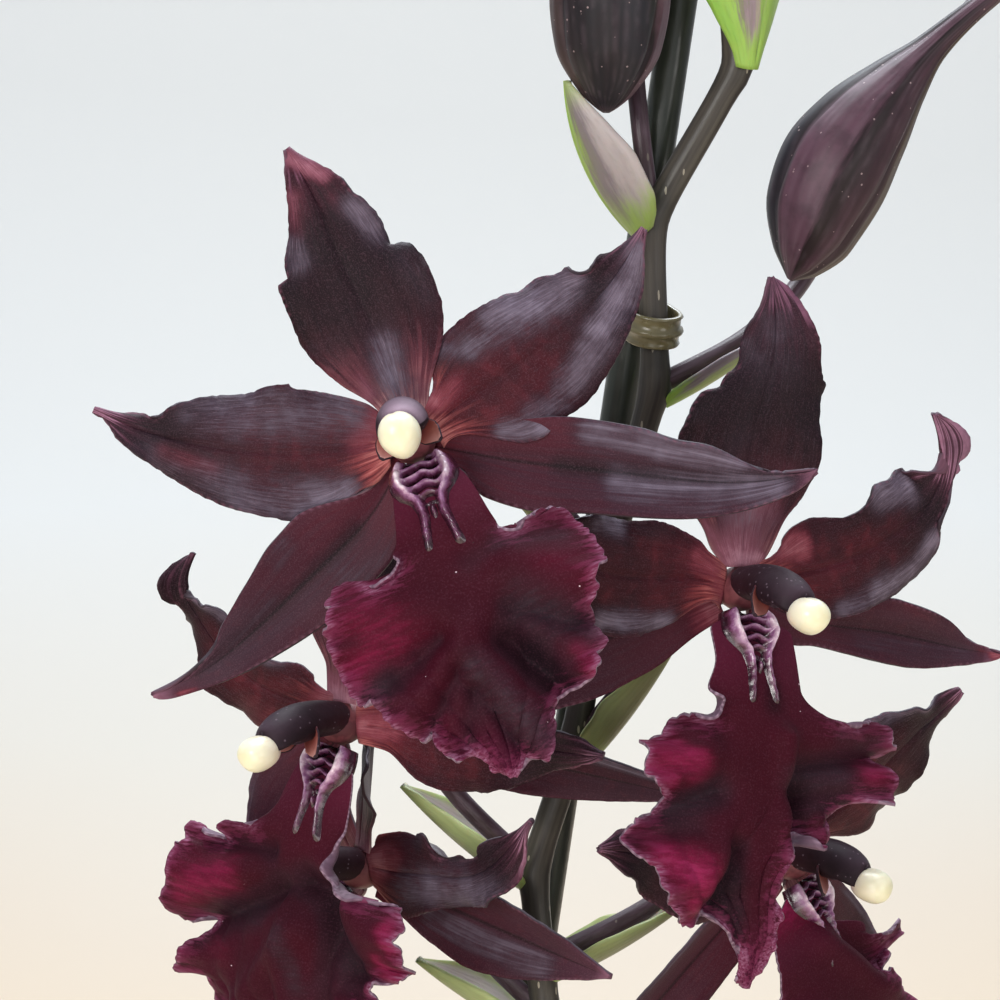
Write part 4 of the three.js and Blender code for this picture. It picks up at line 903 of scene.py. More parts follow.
# %% Margins of the blades that are seen best
MARGINS = dict(
    bloom_1_dorsal=([1.6, -2.8, 5.7, -6, 9.8, -8.1, 12, -8.6, 19.2, -8.1, 19.3, -7, 21.4, -6.4, 23.6, -4.8,
      30.9, -0.7, 32.2, 0.4],
     [2.5, 3.3, 7.6, 6.5, 9.2, 7.1, 10.7, 7.5, 14.4, 7.6, 17.1, 6.8, 17.6, 6.1, 17.8, 4.7, 20.8, 5.1, 23.5,
      4.5, 24.5, 3.9, 25.6, 3.8, 32.2, 0.4]),
    bloom_1_petal_l=([1.7, -4.4, 3.3, -5, 6.1, -7.4, 7.4, -8.1, 9.4, -8.4, 12.5, -8, 16.9, -7.2, 24.4, -4.2,
      29.6, -1.5, 31.6, 0.4, 32.9, 1],
     [2.3, 4.4, 7.4, 5.8, 10.9, 6.3, 11.1, 6.6, 13.2, 6.4, 16.1, 5.4, 20.1, 4.8, 24.5, 2.9, 26, 1.4, 27.7,
      1.7, 31.5, 0.9, 32.9, 1]),
    bloom_1_petal_r=([2.4, -3.1, 3.3, -4.3, 4.1, -6.5, 7.6, -7.6, 9.4, -7.7, 15.6, -6.7, 17.4, -5.8, 19.4,
      -5.7, 21.9, -4.2, 23.1, -3.9, 23, -3.3, 24.3, -1.8, 26.3, -2.2, 27.2, -1.6, 31.9, -0.2],
     [1.2, 2, 8.1, 7.7, 9.2, 8, 11.3, 7.7, 14.3, 8, 17.5, 7.5, 26.1, 4.2, 31.9, -0.2]),
    bloom_1_lateral_r=([4.5, -3, 8.7, -4.8, 13.9, -5.9, 16.5, -6, 22.2, -5.6, 26.8, -4.5, 29.1, -4.3, 36.9,
      -1.3, 38.5, -1, 42.1, -1.2],
     [2.6, 1.5, 6.5, 4.2, 12.2, 4.8, 17.8, 4.2, 27.2, 4, 31.4, 3.5, 38.9, 1.3, 41, 0, 42.1, -1.2]),
    bloom_1_lateral_l=([3, -3.4, 7.3, -5.6, 9.6, -6.1, 13, -6, 25.1, -4.1, 34.1, -1.6, 37.4, -0.1, 37.7, 0.6],
     [3.1, 0.5, 12.6, 5, 16.5, 4.9, 19.8, 4.2, 26.7, 2.2, 29.4, 0.8, 35.1, 0.1, 37.7, 0.6]),
    bloom_1_lip=([2.7, -4.4, 10.6, -6.5, 11.2, -7.5, 9.9, -10.4, 10, -12.5, 12.2, -14.3, 14.9, -15.3, 17.6,
      -15.6, 19.1, -13.9, 19.8, -14, 21.5, -12.6, 23.2, -12.2, 25.7, -13, 26.6, -11.6, 27.3, -11.5, 29.2,
      -9.5, 30.3, -5.6, 33.5, -4.4, 35.2, -2.9, 34.6, -1.6, 35.9, 1],
     [2.7, 3.8, 8.1, 4.9, 9.7, 5.7, 10.7, 5.4, 12.5, 8.4, 10.1, 10.9, 10, 11.9, 12.1, 14.1, 12.8, 13.5,
      13.8, 14.3, 14.8, 14.4, 15.2, 15.1, 17.9, 15.1, 23.7, 13.6, 23.5, 12.7, 25.9, 11.7, 28.6, 9.7, 29.6,
      8.6, 28.7, 7.9, 30.8, 7.4, 32.4, 5.3, 32, 4.5, 32.9, 3.4, 34.6, 3, 35.9, 1]),
    bloom_2_dorsal=([2.1, -4.4, 4.1, -5.4, 6.8, -7.4, 9.6, -8.5, 14, -9.1, 18.4, -7.7, 19.6, -6.7, 20, -4.6,
      21.3, -4, 22.9, -2.1, 26.4, -2.1, 30.4, -0.5, 32.7, -0.2, 33.3, 0.2],
     [1.6, 3.7, 5.8, 5.7, 8, 7.5, 11.1, 8.6, 13.2, 9, 19.3, 8.6, 21.9, 9, 22.3, 8.5, 26.8, 6.8, 30.9, 4.1,
      33, 1.5, 33.3, 0.2]),
    bloom_2_petal_r=([2.5, -2.5, 3.7, -3.2, 4.3, -4.3, 6.3, -5.4, 8.5, -5.6, 13.5, -4.5, 15.8, -4.9, 18.4,
      -7, 21.5, -6.7, 22.3, -7, 30.5, -6.1, 31, -1.2, 33, -0.9, 35.2, -2.2, 37, -1.9, 37.9, -2.5, 38.5, -3.6],
     [5, 3.1, 6.5, 5, 9.6, 6.8, 17.5, 7.2, 21.4, 6.3, 23.6, 5.1, 24.7, 3.6, 25.1, 0.9, 26, 0.5, 29.5, -0.1,
      30.9, 0.1, 31.2, 1, 31.9, 1.3, 32.6, 0.8, 33.1, 2.1, 34.1, 2.6, 35.3, 2.3, 37, 0.2, 38.5, -3.6]),
    bloom_2_petal_l=([1.1, -1.7, 6.9, -5.5, 8.8, -6.4, 10.8, -7.1, 14.4, -7.6, 18.2, -5.9, 24.9, -1.1],
     [2.7, 3.7, 4.2, 4.8, 10.6, 6.1, 14.6, 5.4, 19, 5.4, 20.8, 4.8, 22.5, 3.7, 23.6, 2.4, 24.9, -1.1]),
    bloom_2_lateral_r=([7.7, -0.6, 21.3, -4.6, 28.3, -4.2, 32, -3.3, 35.1, -2.1, 41.1, -1.2],
     [7.5, 4.2, 11.4, 3.5, 24.2, 3.1, 37.8, 0.3, 40.8, -0.7, 41.1, -1.2]),
    bloom_2_lip=([1.6, -6.3, 8.4, -5.9, 12.5, -12.1, 12.6, -13.3, 11.7, -16.2, 12.3, -18.3, 13.1, -19.1,
      14.3, -19.4, 14.7, -20.2, 15.8, -17.8, 16.5, -17.8, 17.1, -18.7, 18.3, -19, 21.5, -17.5, 20.8, -15.1,
      22.2, -11.2, 23.6, -9.6, 26.5, -7.9, 26.5, -7, 25.4, -6.1, 24.8, -4.3, 25.7, -2.8, 26.8, -2, 41.6, 0,
      42.5, 0.7],
     [1.4, 5.2, 4.7, 5.4, 10.6, 8.2, 12.2, 7.3, 12.9, 8.2, 11.9, 10.5, 12, 11.6, 14.7, 15.2, 15.1, 16.9,
      18.3, 17.9, 19.9, 16.4, 21.5, 13.8, 23.1, 14.5, 23.9, 17.7, 26.2, 18.6, 27.4, 18.3, 29.2, 15.6, 29.8,
      15.8, 31.9, 14.5, 33.3, 12.8, 35.8, 9.1, 35.2, 7.6, 34.1, 7.4, 35.2, 5.6, 37.3, 3.9, 38.4, 2.1, 41,
      1.8, 41.4, 2.7, 42.5, 0.7]),
    bloom_3_petal_l=([3, -7.7, 5.7, -9.7, 7.7, -10.4, 14.1, -10.2, 18.3, -6.8, 21.3, -5.1, 21.6, -3.8, 22.7,
      -2.8, 23.1, -3.4, 24, -3.5, 25.4, -2.7, 25.9, -1.6, 26, -0.1, 25.5, 2.2, 25, 3],
     [1, 1.4, 3.3, 1.1, 4, 1.7, 5.3, 1.7, 9.1, -0.2, 10.8, -0.3, 14.3, -1.7, 16.3, -1, 17.5, 0, 19.2, 0.1,
      19.9, -0.7, 20.8, -0.5, 22.5, -1.7, 23.8, -1, 24.7, 0.3, 25, 3]),
    bloom_3_lip=([3.8, -4.7, 13.5, -6.9, 14.6, -7.5, 15.8, -10, 15.6, -13.7, 17, -17.3, 17.8, -17.9, 18.9,
      -17.2, 19.1, -17.8, 21.8, -18.6, 24.4, -15.7, 24.9, -14.7, 24.5, -13.7, 25.8, -13.3, 26.7, -14.3,
      28.2, -13, 28.4, -11.2, 30.1, -9.9, 30.8, -8, 32.7, -6.2, 35.2, -1.1],
     [2, 4.9, 7.6, 6.3, 10.7, 9.1, 10.9, 13.7, 11.3, 14.5, 11.9, 14.9, 12.7, 14.1, 13.4, 14.2, 13.3, 16.3,
      12.1, 20.8, 13, 22.1, 13.8, 21.6, 14.5, 20.2, 15, 22, 18.5, 21.6, 22.2, 23.2, 24, 21.9, 24.9, 20.4,
      23.7, 17.4, 23.9, 16, 24.8, 16, 27.1, 18.8, 29.6, 20.1, 30.6, 21.4, 31.1, 20.7, 30.7, 16.7, 33.8,
      14.8, 34.2, 12.4, 35.2, 11.3, 34.2, 8.6, 35.6, 8, 35.7, 1.6, 35.2, -1.1]),
    bloom_4_petal_r=([1.2, -1.8, 1.6, -2.8, 2.4, -3.5, 5.9, -3.4, 8.5, -2.6, 10, -2.9, 11.1, -2.7, 11.7,
      0.1, 12.9, 0.6, 14.4, 0.4, 15.8, 1, 18.4, 0.6, 19.3, -0.6, 21.1, -1.4, 24.5, -2.2, 27.6, -3.6],
     [5, 7.1, 12.2, 6.4, 19.9, 6.4, 20.9, 5.5, 23, 4.7, 24.6, 3.2, 27.6, -3.6]),
    bloom_5_lip=([2.3, -2.4, 4.6, -1.8, 8.4, -8.8, 9.7, -8.9, 10.6, -9.9, 10.9, -13.8, 10.3, -16.2, 11.4,
      -17.1, 12.4, -17.3, 12.6, -11.3, 13.2, -9.8, 14.4, -8.8, 14.8, -10.7, 16.4, -11.3, 21.2, -16.1, 26,
      -13, 31, -8, 35, -3.5, 36.5, 1],
     [2.3, 7.6, 3.7, 9.1, 10.6, 11.3, 16, 13, 22, 12.5, 28, 9, 33, 5, 36.5, 1]))
print(sum(len(side) for pair in MARGINS.values() for side in pair) // 2, "points on", len(MARGINS), "blades")

# %% Folds and rolled edges of the lips
# Six numbers make a fold: the two ends of its line, its width and its height, where less than nothing is
# a valley. Four make a roll: its place on the margin, its width and the angle the edge turns over.
FOLDS = dict(
    bloom_1_lip=[22.1, -2.8, 30.3, -7.4, 2.2, -3.6, 18.6, -4.3, 23.8, -13.2, 1.4, -1.5, 20.9, 0.7, 34.4,
     -3.8, 2.6, 1.5, 26.1, 1.5, 35, -1.1, 1, -1.3, 19.8, 3.6, 23.7, 13.6, 1.6, -1.5, 21.7, 2.9, 27.2, 10.6,
     1.2, 0.9, 23.2, 2.8, 29.2, 8.1, 1, -1.1, 25.8, 2.3, 32.4, 4.6, 1.1, -0.9, 14.4, -7, 18.2, -14.6, 2.5,
     1, 14.3, 3, 11.7, 13, 2.2, -0.7, 12.6, -2, 11.2, -7.5, 2, -0.8, 15.4, 3.3, 15.7, 14.7, 3, 1.2],
    bloom_2_lip=[14.4, -2.3, 36.4, -0.9, 1.4, 1.6, 21.2, -4.3, 25.1, -4.3, 2, -2.5, 20.3, 6.9, 22.8, 14.4,
     1.8, -1.8, 26.8, 4.4, 34.9, 6.9, 1.6, -2.6, 17.2, -4.5, 15.7, -18.4, 1.6, -1.6, 20.1, -2.8, 21.2,
     -15.1, 2, -1.6, 24.7, 9.6, 26.1, 18.1, 1.5, -1, 28, 6.8, 32.5, 13.6, 3, 1.4, 15.9, 9.4, 17.7, 17.4,
     2.5, 1.2, 32.4, 3.6, 37.5, 3.4, 1.2, -1.2, 23.4, -7.3, 26.3, -7.4, 0.9, 1.2],
    bloom_3_lip=[15.4, -0.5, 24.3, 17, 2.2, -2.6, 15.7, 1.2, 30.9, 0, 1.5, 1.2, 15.9, -3.8, 25.1, -9.9, 2,
     -2.2, 12.9, 5.6, 13.8, 15.6, 1.6, -1.8, 16.6, -8.6, 20.1, -16.8, 2.4, 1.2, 21, -1.5, 31.8, 8.3, 1.8,
     1.6, 16.7, -5.5, 29.7, -5.2, 1.6, -1.6, 15.9, 8.4, 21.8, 22.7, 3, 1],
    bloom_4_lip=[14, 4, 28, 12, 2, -2, 14, -4, 28, -12, 2, -2, 14, 0, 34, 0, 1.6, 1.4],
    bloom_5_lip=[7.1, -3.3, 13.7, -8.7, 1.6, -1.8, 6.7, 1.3, 19.5, -11.8, 2.2, 1.2])
ROLLS = dict(
    bloom_1_lip=[11.6, 6.9, 2.6, 150, 10.8, -6.8, 1.6, 120, 30, -7.1, 2.4, 130],
    bloom_2_lip=[11.8, 7.8, 2.4, 170, 14.7, -19.4, 1.6, 80, 41.4, 2.5, 1, 60],
    bloom_3_lip=[12.7, -6.9, 3.2, 170, 13.7, 16.2, 1.8, 120],
    bloom_5_lip=[13.5, -9.3, 1.8, 100])

# %% Painted sheen, glow and shade on the blades that are seen best
# Seven numbers make a stroke: the two ends of its line, its width, its share of painted slate sheen, and
# its glow, a brighter red partly painted light, or, below nothing, its painted shade.
SHEEN_GLOW_SHADE = dict(
    bloom_1_dorsal=[23.4, 3.5, 19.7, 4, 1, 0.8, 0, 22.8, -4.7, 20.4, -5.2, 0.9, 0.75, 0, 16, 5.6, 10.4, 6.8,
     1, 0.35, 0, 8.3, 0, 3, -0.2, 1.1, 0.85, 0, 31.2, 0.1, 27.5, 2.2, 0.6, 0, 0.85, 24.8, 1.8, 21.6, 1.3,
     0.8, 0, 0.6, 27.2, -2.1, 23.3, -3.5, 0.8, 0, 0.7, 10, -4.6, 6.2, -1.7, 0.9, 0, 0.5, 6, -3.6, 3.4, -3.2,
     0.9, 0, 0.55, 7.2, 3.1, 1.9, 2, 0.9, 0, 0.5, 19.5, 0.1, 12.6, -0.6, 2.5, 0, -0.7, 16.9, -7.2, 10.6,
     -7.6, 1.1, 0, -0.5, 13.2, 0.8, 10.8, 1, 1.1, 0, -0.4],
    bloom_1_petal_l=[4.6, 3.5, 19.4, 3, 2, 0.7, 0, 9.7, 5.3, 22.2, 3.1, 1.5, 0.6, 0, 6.4, 2.2, 14, 2, 0.8,
     0.65, 0, 14.2, 1.2, 20.3, 1.2, 0.9, 0.45, 0, 20.1, -4.3, 10.6, -5.8, 1.6, 0.6, 0, 14.6, -6.8, 6.4, -6,
     1.7, 0.75, 0, 9.5, -7.3, 4.9, -5.5, 1.2, 0.95, 0, 25.8, -2.6, 19.5, -5.2, 1.5, 0.5, 0, 1.3, 3, 2.9,
     0.4, 1.1, 0, 0.8, 24.4, -1.5, 19.1, -2.8, 0.8, 0, 0.65, 26.5, 0.7, 16.2, -1, 0.9, 0, -0.5, 9.1, 5.7, 4,
     5, 0.8, 0, -0.6, 13.7, -2.9, 6.4, -3.6, 0.8, 0, -0.3],
    bloom_1_petal_r=[8.2, -6.6, 14, -5.4, 1.5, 0.5, 0, 13.5, -5, 20.8, -2.9, 1.7, 0.9, 0, 15.1, -3.4, 22.5,
     -2.1, 0.9, 0.8, 0, 6, -6.6, 8.5, -4.4, 0.9, 0.6, 0, 8.8, -4.6, 14.9, -3.2, 1, 0.75, 0, 29.8, 0.9, 24.6,
     3.2, 1, 0.9, 0, 25.4, 2.5, 20.6, 3.5, 1.1, 0.95, 0, 20.2, 4.6, 14, 5.2, 1.1, 0.75, 0, 12.6, 6.1, 9.5,
     5, 0.9, 0.65, 0, 6.2, 4.9, 9.9, 7.5, 0.8, 1, 0, 18, 3.9, 21.3, 4.2, 0.9, 0.7, 0, 2, -2.3, 4.4, -2.7,
     0.9, 0, 0.8, 6.4, 0.1, 12.1, 3.4, 1.6, 0, 0.14, 22.6, -1.5, 22.9, 1.2, 1.3, 0, -0.7, 6.2, -7.4, 4,
     -4.6, 0.7, 0, -0.6],
    bloom_1_lateral_r=[16.6, -5, 24.6, -4.2, 1, 0.85, 0, 18, -3.3, 24.7, -2.8, 0.9, 0.45, 0, 24.6, -3.7,
     33.6, -2.6, 0.9, 0.85, 0, 5.4, 1.4, 18.5, 1.2, 1.1, 0.35, 0.2, 20.6, 0.4, 37.4, 0.5, 1.2, 0.85, 0,
     20.8, 2.6, 31.4, 2.5, 1, 0.5, 0.15, 13.9, -0.6, 38.5, -0.5, 0.8, 0, -1, 7.1, -1, 13.8, -1, 0.8, 0, -0.5],
    bloom_1_lateral_l=[15.4, 3.8, 17.4, 3.4, 0.7, 0.5, 0, 21, 0.8, 27.6, 0.7, 0.9, 0.4, 0, 13, -3.6, 10,
     -4.7, 1.6, 0.5, 0, 16.3, -2.3, 31, -1, 1, 0.35, 0.2, 17, -3.1, 27.1, -1.3, 0.9, 0, 0.25, 13.8, 3, 19.4,
     0.8, 0.7, 0, 0.2, 33.4, -1.7, 35.1, -1.1, 0.3, 0, 0.6, 9, -0.8, 31.8, -0.1, 0.7, 0, -0.8],
    bloom_2_dorsal=[29.5, 0, 25.7, 1.7, 2.8, 0.5, 0, 27, -2.1, 24.3, 0, 1.1, 0.5, 0, 13.9, -2, 14.5, -0.8,
     1.2, 0.3, 0, 6.5, -2.1, 5.2, 2.2, 1.6, 0.55, 0.3, 18.9, -3.1, 19.8, 7, 2.6, 0, -0.6, 12.5, 3.4, 11.4,
     4.9, 1.2, 0, 0.4, 4.2, 0.1, 2.5, 1.7, 1.4, 0, 0.7, 5, -5.7, 1.6, -2.9, 0.6, 0, 0.7, 1, -1, 1.2, 2.3,
     0.6, 0, 1, 0, -1, 6, 0.5, 2, 0, 1],
    bloom_2_petal_r=[19, -5.9, 22.8, -5.1, 1.3, 0.95, 0, 10.3, 5.9, 15.1, 6, 0.8, 0.75, 0, 15.2, 5.7, 21.1,
     5.1, 1.1, 0.95, 0, 22.2, 4.3, 24.4, 2.7, 0.9, 0.9, 0, 4, -3.4, 6.8, -3, 1.1, 0, 0.9, 7.4, -1, 11.7,
     1.5, 1.1, 0, 0.35, 13.5, -3.9, 10.2, -3.3, 1.1, 0, -0.6, 29.4, -3.4, 27.1, -1.1, 0.9, 0, -0.5, 16.2, 3,
     12.2, 4.3, 0.9, 0, -0.5],
    bloom_2_petal_l=[18.7, 4.6, 15.3, 4.7, 0.9, 0.8, 0, 12.6, 5, 9.4, 5, 0.8, 0.35, 0, 14.9, -6, 7, -4.8,
     0.8, 0.9, 0, 15.8, -5, 13.7, -4.5, 0.5, 0.5, 0, 4.1, 2.6, 1.7, 1.7, 0.9, 0, 0.75, -0.3, -0.6, 1.1, 0.3,
     0.8, 0, 0.75, 5.3, -1.2, 6.4, 1.1, 0.9, 0, 0.25, 15.9, 0.7, 11.4, -1.9, 1.6, 0, -0.5],
    bloom_2_lateral_r=[22.4, -4.2, 38, -1.1, 0.4, 0, 0.4, 14.4, -0.1, 34.2, -1.7, 0.9, 0, -0.6, 17.7, 1.5,
     34.9, -0.5, 0.9, 0.4, 0.25, 39.3, -0.9, 40.5, -0.7, 0.4, 0, 0.9],
    bloom_3_petal_r=[10, -3, 24, -5, 1.2, 0.7, 0, 1, 0, 5, 0, 1, 0, 0.9],
    bloom_4_petal_r=[6, 3, 20, 5, 1.6, 0.75, 0, 8, -3, 20, -3, 1.6, 0.5, 0, 1, 0, 4, 0, 1.2, 0, 1],
    bloom_4_lateral_r=[8, 2, 24, 2, 1.2, 0.7, 0, 2, 0, 6, 0, 1.2, 0, 0.6],
    bloom_1_lip=[11.7, -5.6, 12.9, -11.9, 0.8, 0.7, -0.3, 18.9, -6.1, 23.8, -11.6, 1.5, 0.85, 0, 20.5, -7.2,
     23.5, -12.8, 0.7, 0.9, 0, 23.5, 1, 28, -0.8, 1, 0.8, 0, 28.5, -0.6, 33, -3.8, 1.2, 0.85, 0, 31.4, -4,
     33.9, -3.2, 0.9, 0.7, 0, 22.1, 10.5, 23.5, 12.1, 1, 0.8, 0, 13.4, 11.5, 18.2, 8.2, 2.2, 0, 0.55, 19,
     10.7, 19.6, 13.7, 1.3, 0, 0.65, 14.2, 6.3, 20.5, 5, 1.6, 0, 0.25, 15.5, -9.4, 18.5, -13.6, 1.5, 0,
     0.35, 25.6, -9.7, 27.7, -11, 1, 0, 0.8, 27.8, 4.7, 29.9, 7.3, 0.8, 0, 0.4, 23.8, 5, 26.3, 4.2, 1.3, 0,
     0.2, 24.1, -5.4, 26.9, -6.4, 1.1, 0, -1, 26, -6.2, 27.6, -7.5, 0.6, 0, -0.9, 31.7, -0.3, 34, -2, 0.6,
     0, -0.8, 29.3, 3.5, 26.2, 1.4, 1, 0, -0.3],
    bloom_2_lip=[16, 15.9, 17.2, 10.8, 1.4, 0, 0.85, 18.3, 17.4, 19.3, 14.2, 0.8, 0, 0.8, 27.5, 14.7, 30.2,
     9.2, 1.5, 0, 0.9, 32.4, 10.3, 34.1, 8.7, 0.8, 0, 0.9, 17.7, -15.3, 16.4, -18.3, 1.1, 0, 0.8, 21.3, 4.3,
     27.9, 2.7, 1.6, 0, 0.12, 20.3, 7.6, 22.6, 12.3, 1.1, 0.85, 0, 31.9, 7.4, 28.5, 5.7, 0.8, 0.55, 0, 18.9,
     -2.9, 18.2, -10.6, 1.1, 0.75, 0, 13.5, -11.1, 14.4, -17.3, 0.9, 0.6, 0, 14.2, 9.9, 14.5, 7.6, 0.8, 0,
     -0.6, 30.2, 4.6, 33, 5.6, 1.1, 0, -1, 34.1, 3.4, 36.3, 3.6, 0.7, 0, -0.8, 8.7, -1.3, 10.4, -1.2, 0.8,
     0, -0.8, 22.8, -7.3, 21.6, -11.2, 1.1, 0, -0.6],
    bloom_3_lip=[19.8, 19, 17, 11, 1.6, 0, 0.7, 26.3, 11.7, 24.9, 13.7, 1.2, 0, 0.4, 18, -15.7, 19.5, -17,
     0.8, 0, 0.85, 22.3, -14.8, 23.1, -16.4, 0.9, 0, 0.9, 21.5, 12, 20.9, 6.5, 1.1, 0.75, 0, 21.3, 0.1,
     28.1, -1.8, 0.7, 0.7, 0, 17.8, -5.7, 23, -8.7, 1.6, 0.7, 0, 15.2, 4.9, 17.9, 0.7, 1.6, 0, -0.4])
EXTRA = {name: {label: table[name] for label, table in (
    ("margins", MARGINS), ("folds", FOLDS), ("rolls", ROLLS), ("sheen_glow_shade", SHEEN_GLOW_SHADE)) if name in table}
    for name in {**MARGINS, **FOLDS, **SHEEN_GLOW_SHADE}}


def facing(turn, up, roll):
    a, e = rad(turn), rad(up)
    z = np.array([math.sin(a) * math.cos(e), -math.cos(a) * math.cos(e), math.sin(e)])
    x = turned(np.array([math.cos(a), math.sin(a), 0]), z, rad(roll))
    return x, np.cross(z, x), z


# %% [markdown]
# ## Column, wings, cap and callus
# The column is a hood of dark mauve velvet, with a paler sheen painted where it faces the sky, that
# arches out of the flower. A salmon wing flares on each side of its end, and the anther cap closes it
# like a small cream bean. Below it the lip carries two glossy keels with wrinkles between them, the
# callus, which guides a visiting insect.

# %% Finishes of the small parts
def column_skin(name, top, share):
    skin = Skin(name, 0.55, 0.15, 0.05, "#a58aa0")
    patches = skin.blots(500, 0.36, 0.68)
    skin.colour = skin.along.ramp({0: "#6a3038", 0.14: "#2f151c", 0.5: "#1d1016", 0.9: "#241820",
                                   1: "#33242d"})
    skin.wash(patches * 0.35, "#34222c")
    # Painted sheen: the colour top is laid where the hood faces the sky, more towards its end.
    skin.wash(skin.sky_side(0.1, 0.9) * skin.along.spread(0.4, 1, 0.1, share), top)
    skin.wash(skin.specks(1900, 0.25, 0.3) * 0.35, "#8a7684")
    return skin.done(patches, 0.3, 0.0001)


def wing_skin():
    skin = Skin("wing_salmon", 0.45, 0.3, 0.05, "#ffd0c0")
    patches = skin.blots(500, 0.4, 0.64)
    skin.colour = skin.along.ramp({0: "#4a222a", 0.3: "#8a4640", 0.7: "#b0726a", 1: "#b98680"})
    skin.wash(patches * 0.4, "#7c3834")
    return skin.done(patches, 0.2, 0.0001)


def cap_skin():
    skin = Skin("cap_cream", 0.3, 0.5, coat=0.25)
    skin.glow_through(0.25, 0.0012, (1, 0.8, 0.5))
    patches = skin.blots(420, 0.4, 0.64)
    skin.colour = skin.along.ramp({0: "#b98aa0", 0.18: "#d2aebb", 0.36: "#efe3cf", 0.7: "#f6f1d6",
                                   1: "#f3edc8"})
    skin.wash(patches * 0.18, "#e3d8a8")
    return skin.done(patches, 0.15, 0.0001)


def callus_skin():
    skin = Skin("callus_gloss", 0.2, 0.5, coat=0.8)
    patches = skin.blots(900, 0.4, 0.62)
    # Colour by height: dark maroon low down, pink on the keels, and a painted highlight near white on every
    # crest.
    skin.colour = ((patches - 0.5) * 0.16 + skin.uv("form")[0]).ramp({
        0: "#3a1426", 0.25: "#2a0d1a", 0.45: "#5c2a46", 0.68: "#94608a", 0.9: "#d9b8cc", 1: "#f0dce6"})
    return skin.done(patches, 0.3, 0.00015)


def hub_skin():
    skin = Skin("hub_rose", 0.5, 0.3, 0.05, "#ffd8d0")
    patches = skin.blots(320, 0.4, 0.62)
    skin.colour = "#7a4046"
    skin.wash(patches, "#54262e")
    return skin.done(patches, 0.2, 0.0001)


# Both hoods get a painted sheen; bloom 1's, turned up, a paler and stronger one.
VELVET = column_skin("column_velvet", "#5c4a56", 0.5)
STRONG_SHEEN_VELVET = column_skin("column_strong_sheen", "#a08899", 1)
SALMON, CREAM, GLOSS, ROSE = wing_skin(), cap_skin(), callus_skin(), hub_skin()


# %% Column, wings and cap along the facing line
def column_rings(axes, centre, column):
    """The hood: round at its foot, wide at its mouth, with a visor that reaches over the cap."""
    x, y, z = axes
    shape = [[0, 2.5, 2, 2.2], [0.2, 2.3, 2.2, 1.9], [0.45, 2.55, 2.6, 1.8], [0.68, 2.85, 3, 1.5],
             [0.82, 2.85, 3.1, 0.4], [0.92, 2.55, 2.9, -1.3], [0.98, 1.9, 2.6, -2.1], [1, 1.1, 2.35, -2.25]]
    angle = around(48)
    rings = []
    for share in np.concatenate([np.linspace(0, 0.9, 26), np.linspace(0.92, 1, 10)]):
        wide, over, under = through(shape, share)
        rise = column["arch"] * math.sin(math.pi * share) - column["droop"] * share**2
        middle = centre + z * (-1.6 + (column["length"] + 3.6) * share) + y * rise
        rings.append(ring(middle, x, y, wide, np.where(np.sin(angle) > 0, over, under), angle))
    return rings


def cap_rings(axes, centre, column):
    x, y, z = axes
    tip = centre + z * (column["length"] + FIT + CAP["deep"]) - y * column["droop"] + x * column["over"]
    angle = around(36)
    crease = 1 - 0.06 * np.exp(-(np.cos(angle) / 0.16) ** 2) * (np.sin(angle) > 0)
    rings = []
    for polar in np.linspace(0.05, np.pi - 0.05, 30):
        size = math.sin(polar) ** 0.8 * crease
        beak = 1 + 0.16 * np.clip(-np.sin(angle), 0, 1) ** 4 * smooth((polar - 0.8) / 1.2)
        rings.append(ring(tip - z * CAP["deep"] * math.cos(polar), x, y, CAP["wide"] * size,
                          column["tall"] * size * beak, angle))
    return rings


def wing_piece(name, axes, centre, column, sign, node):
    """A salmon flap on the side of the hood, hollow towards the lip."""
    x, y, z = axes
    foot = centre + z * column["length"] * 0.6 + x * sign * 1.7 + y * (column["arch"] * 0.6 - 0.6)
    size = column.get("wing", 1)
    outline = even([[0, 1.5 * size], [0.4, 1.6 * size], [0.75, 1.1 * size], [1, 0.3]])
    wing = dict(at=-sign * 138, tilt=18, bend=26, length=3.3 * size, cup=0.3, rows=22, columns=16, thick=0.45,
                outline=outline, teeth=((1.4, 0.1),), free_from=0.2, seed=5 + sign)
    blade_piece(name, wing, axes, foot, [SALMON, VELVET], "tepal", node)


# %% [markdown]
# The callus is one low relief that stands on the claw: two pale keels that lean together and end in
# prongs, wrinkles between them, and a small tooth behind the narrowest place. It is a sheet whose height
# is computed from the distance to the keel lines, and that height also colours it, pale on every crest:
# partly the pink of the keels and partly a painted highlight.

# %% The callus as a relief over the claw
KEEL = [[-0.6, 2.2, 1.6], [0.6, 2.6, 2.1], [1.8, 2.75, 2.2], [3.4, 2.1, 1.9], [4.7, 1.3, 1.55],
        [6.2, 1.15, 1.3], [8.1, 1.4, 1.05], [9.8, 1.65, 0.85], [10.8, 1.8, 0]]


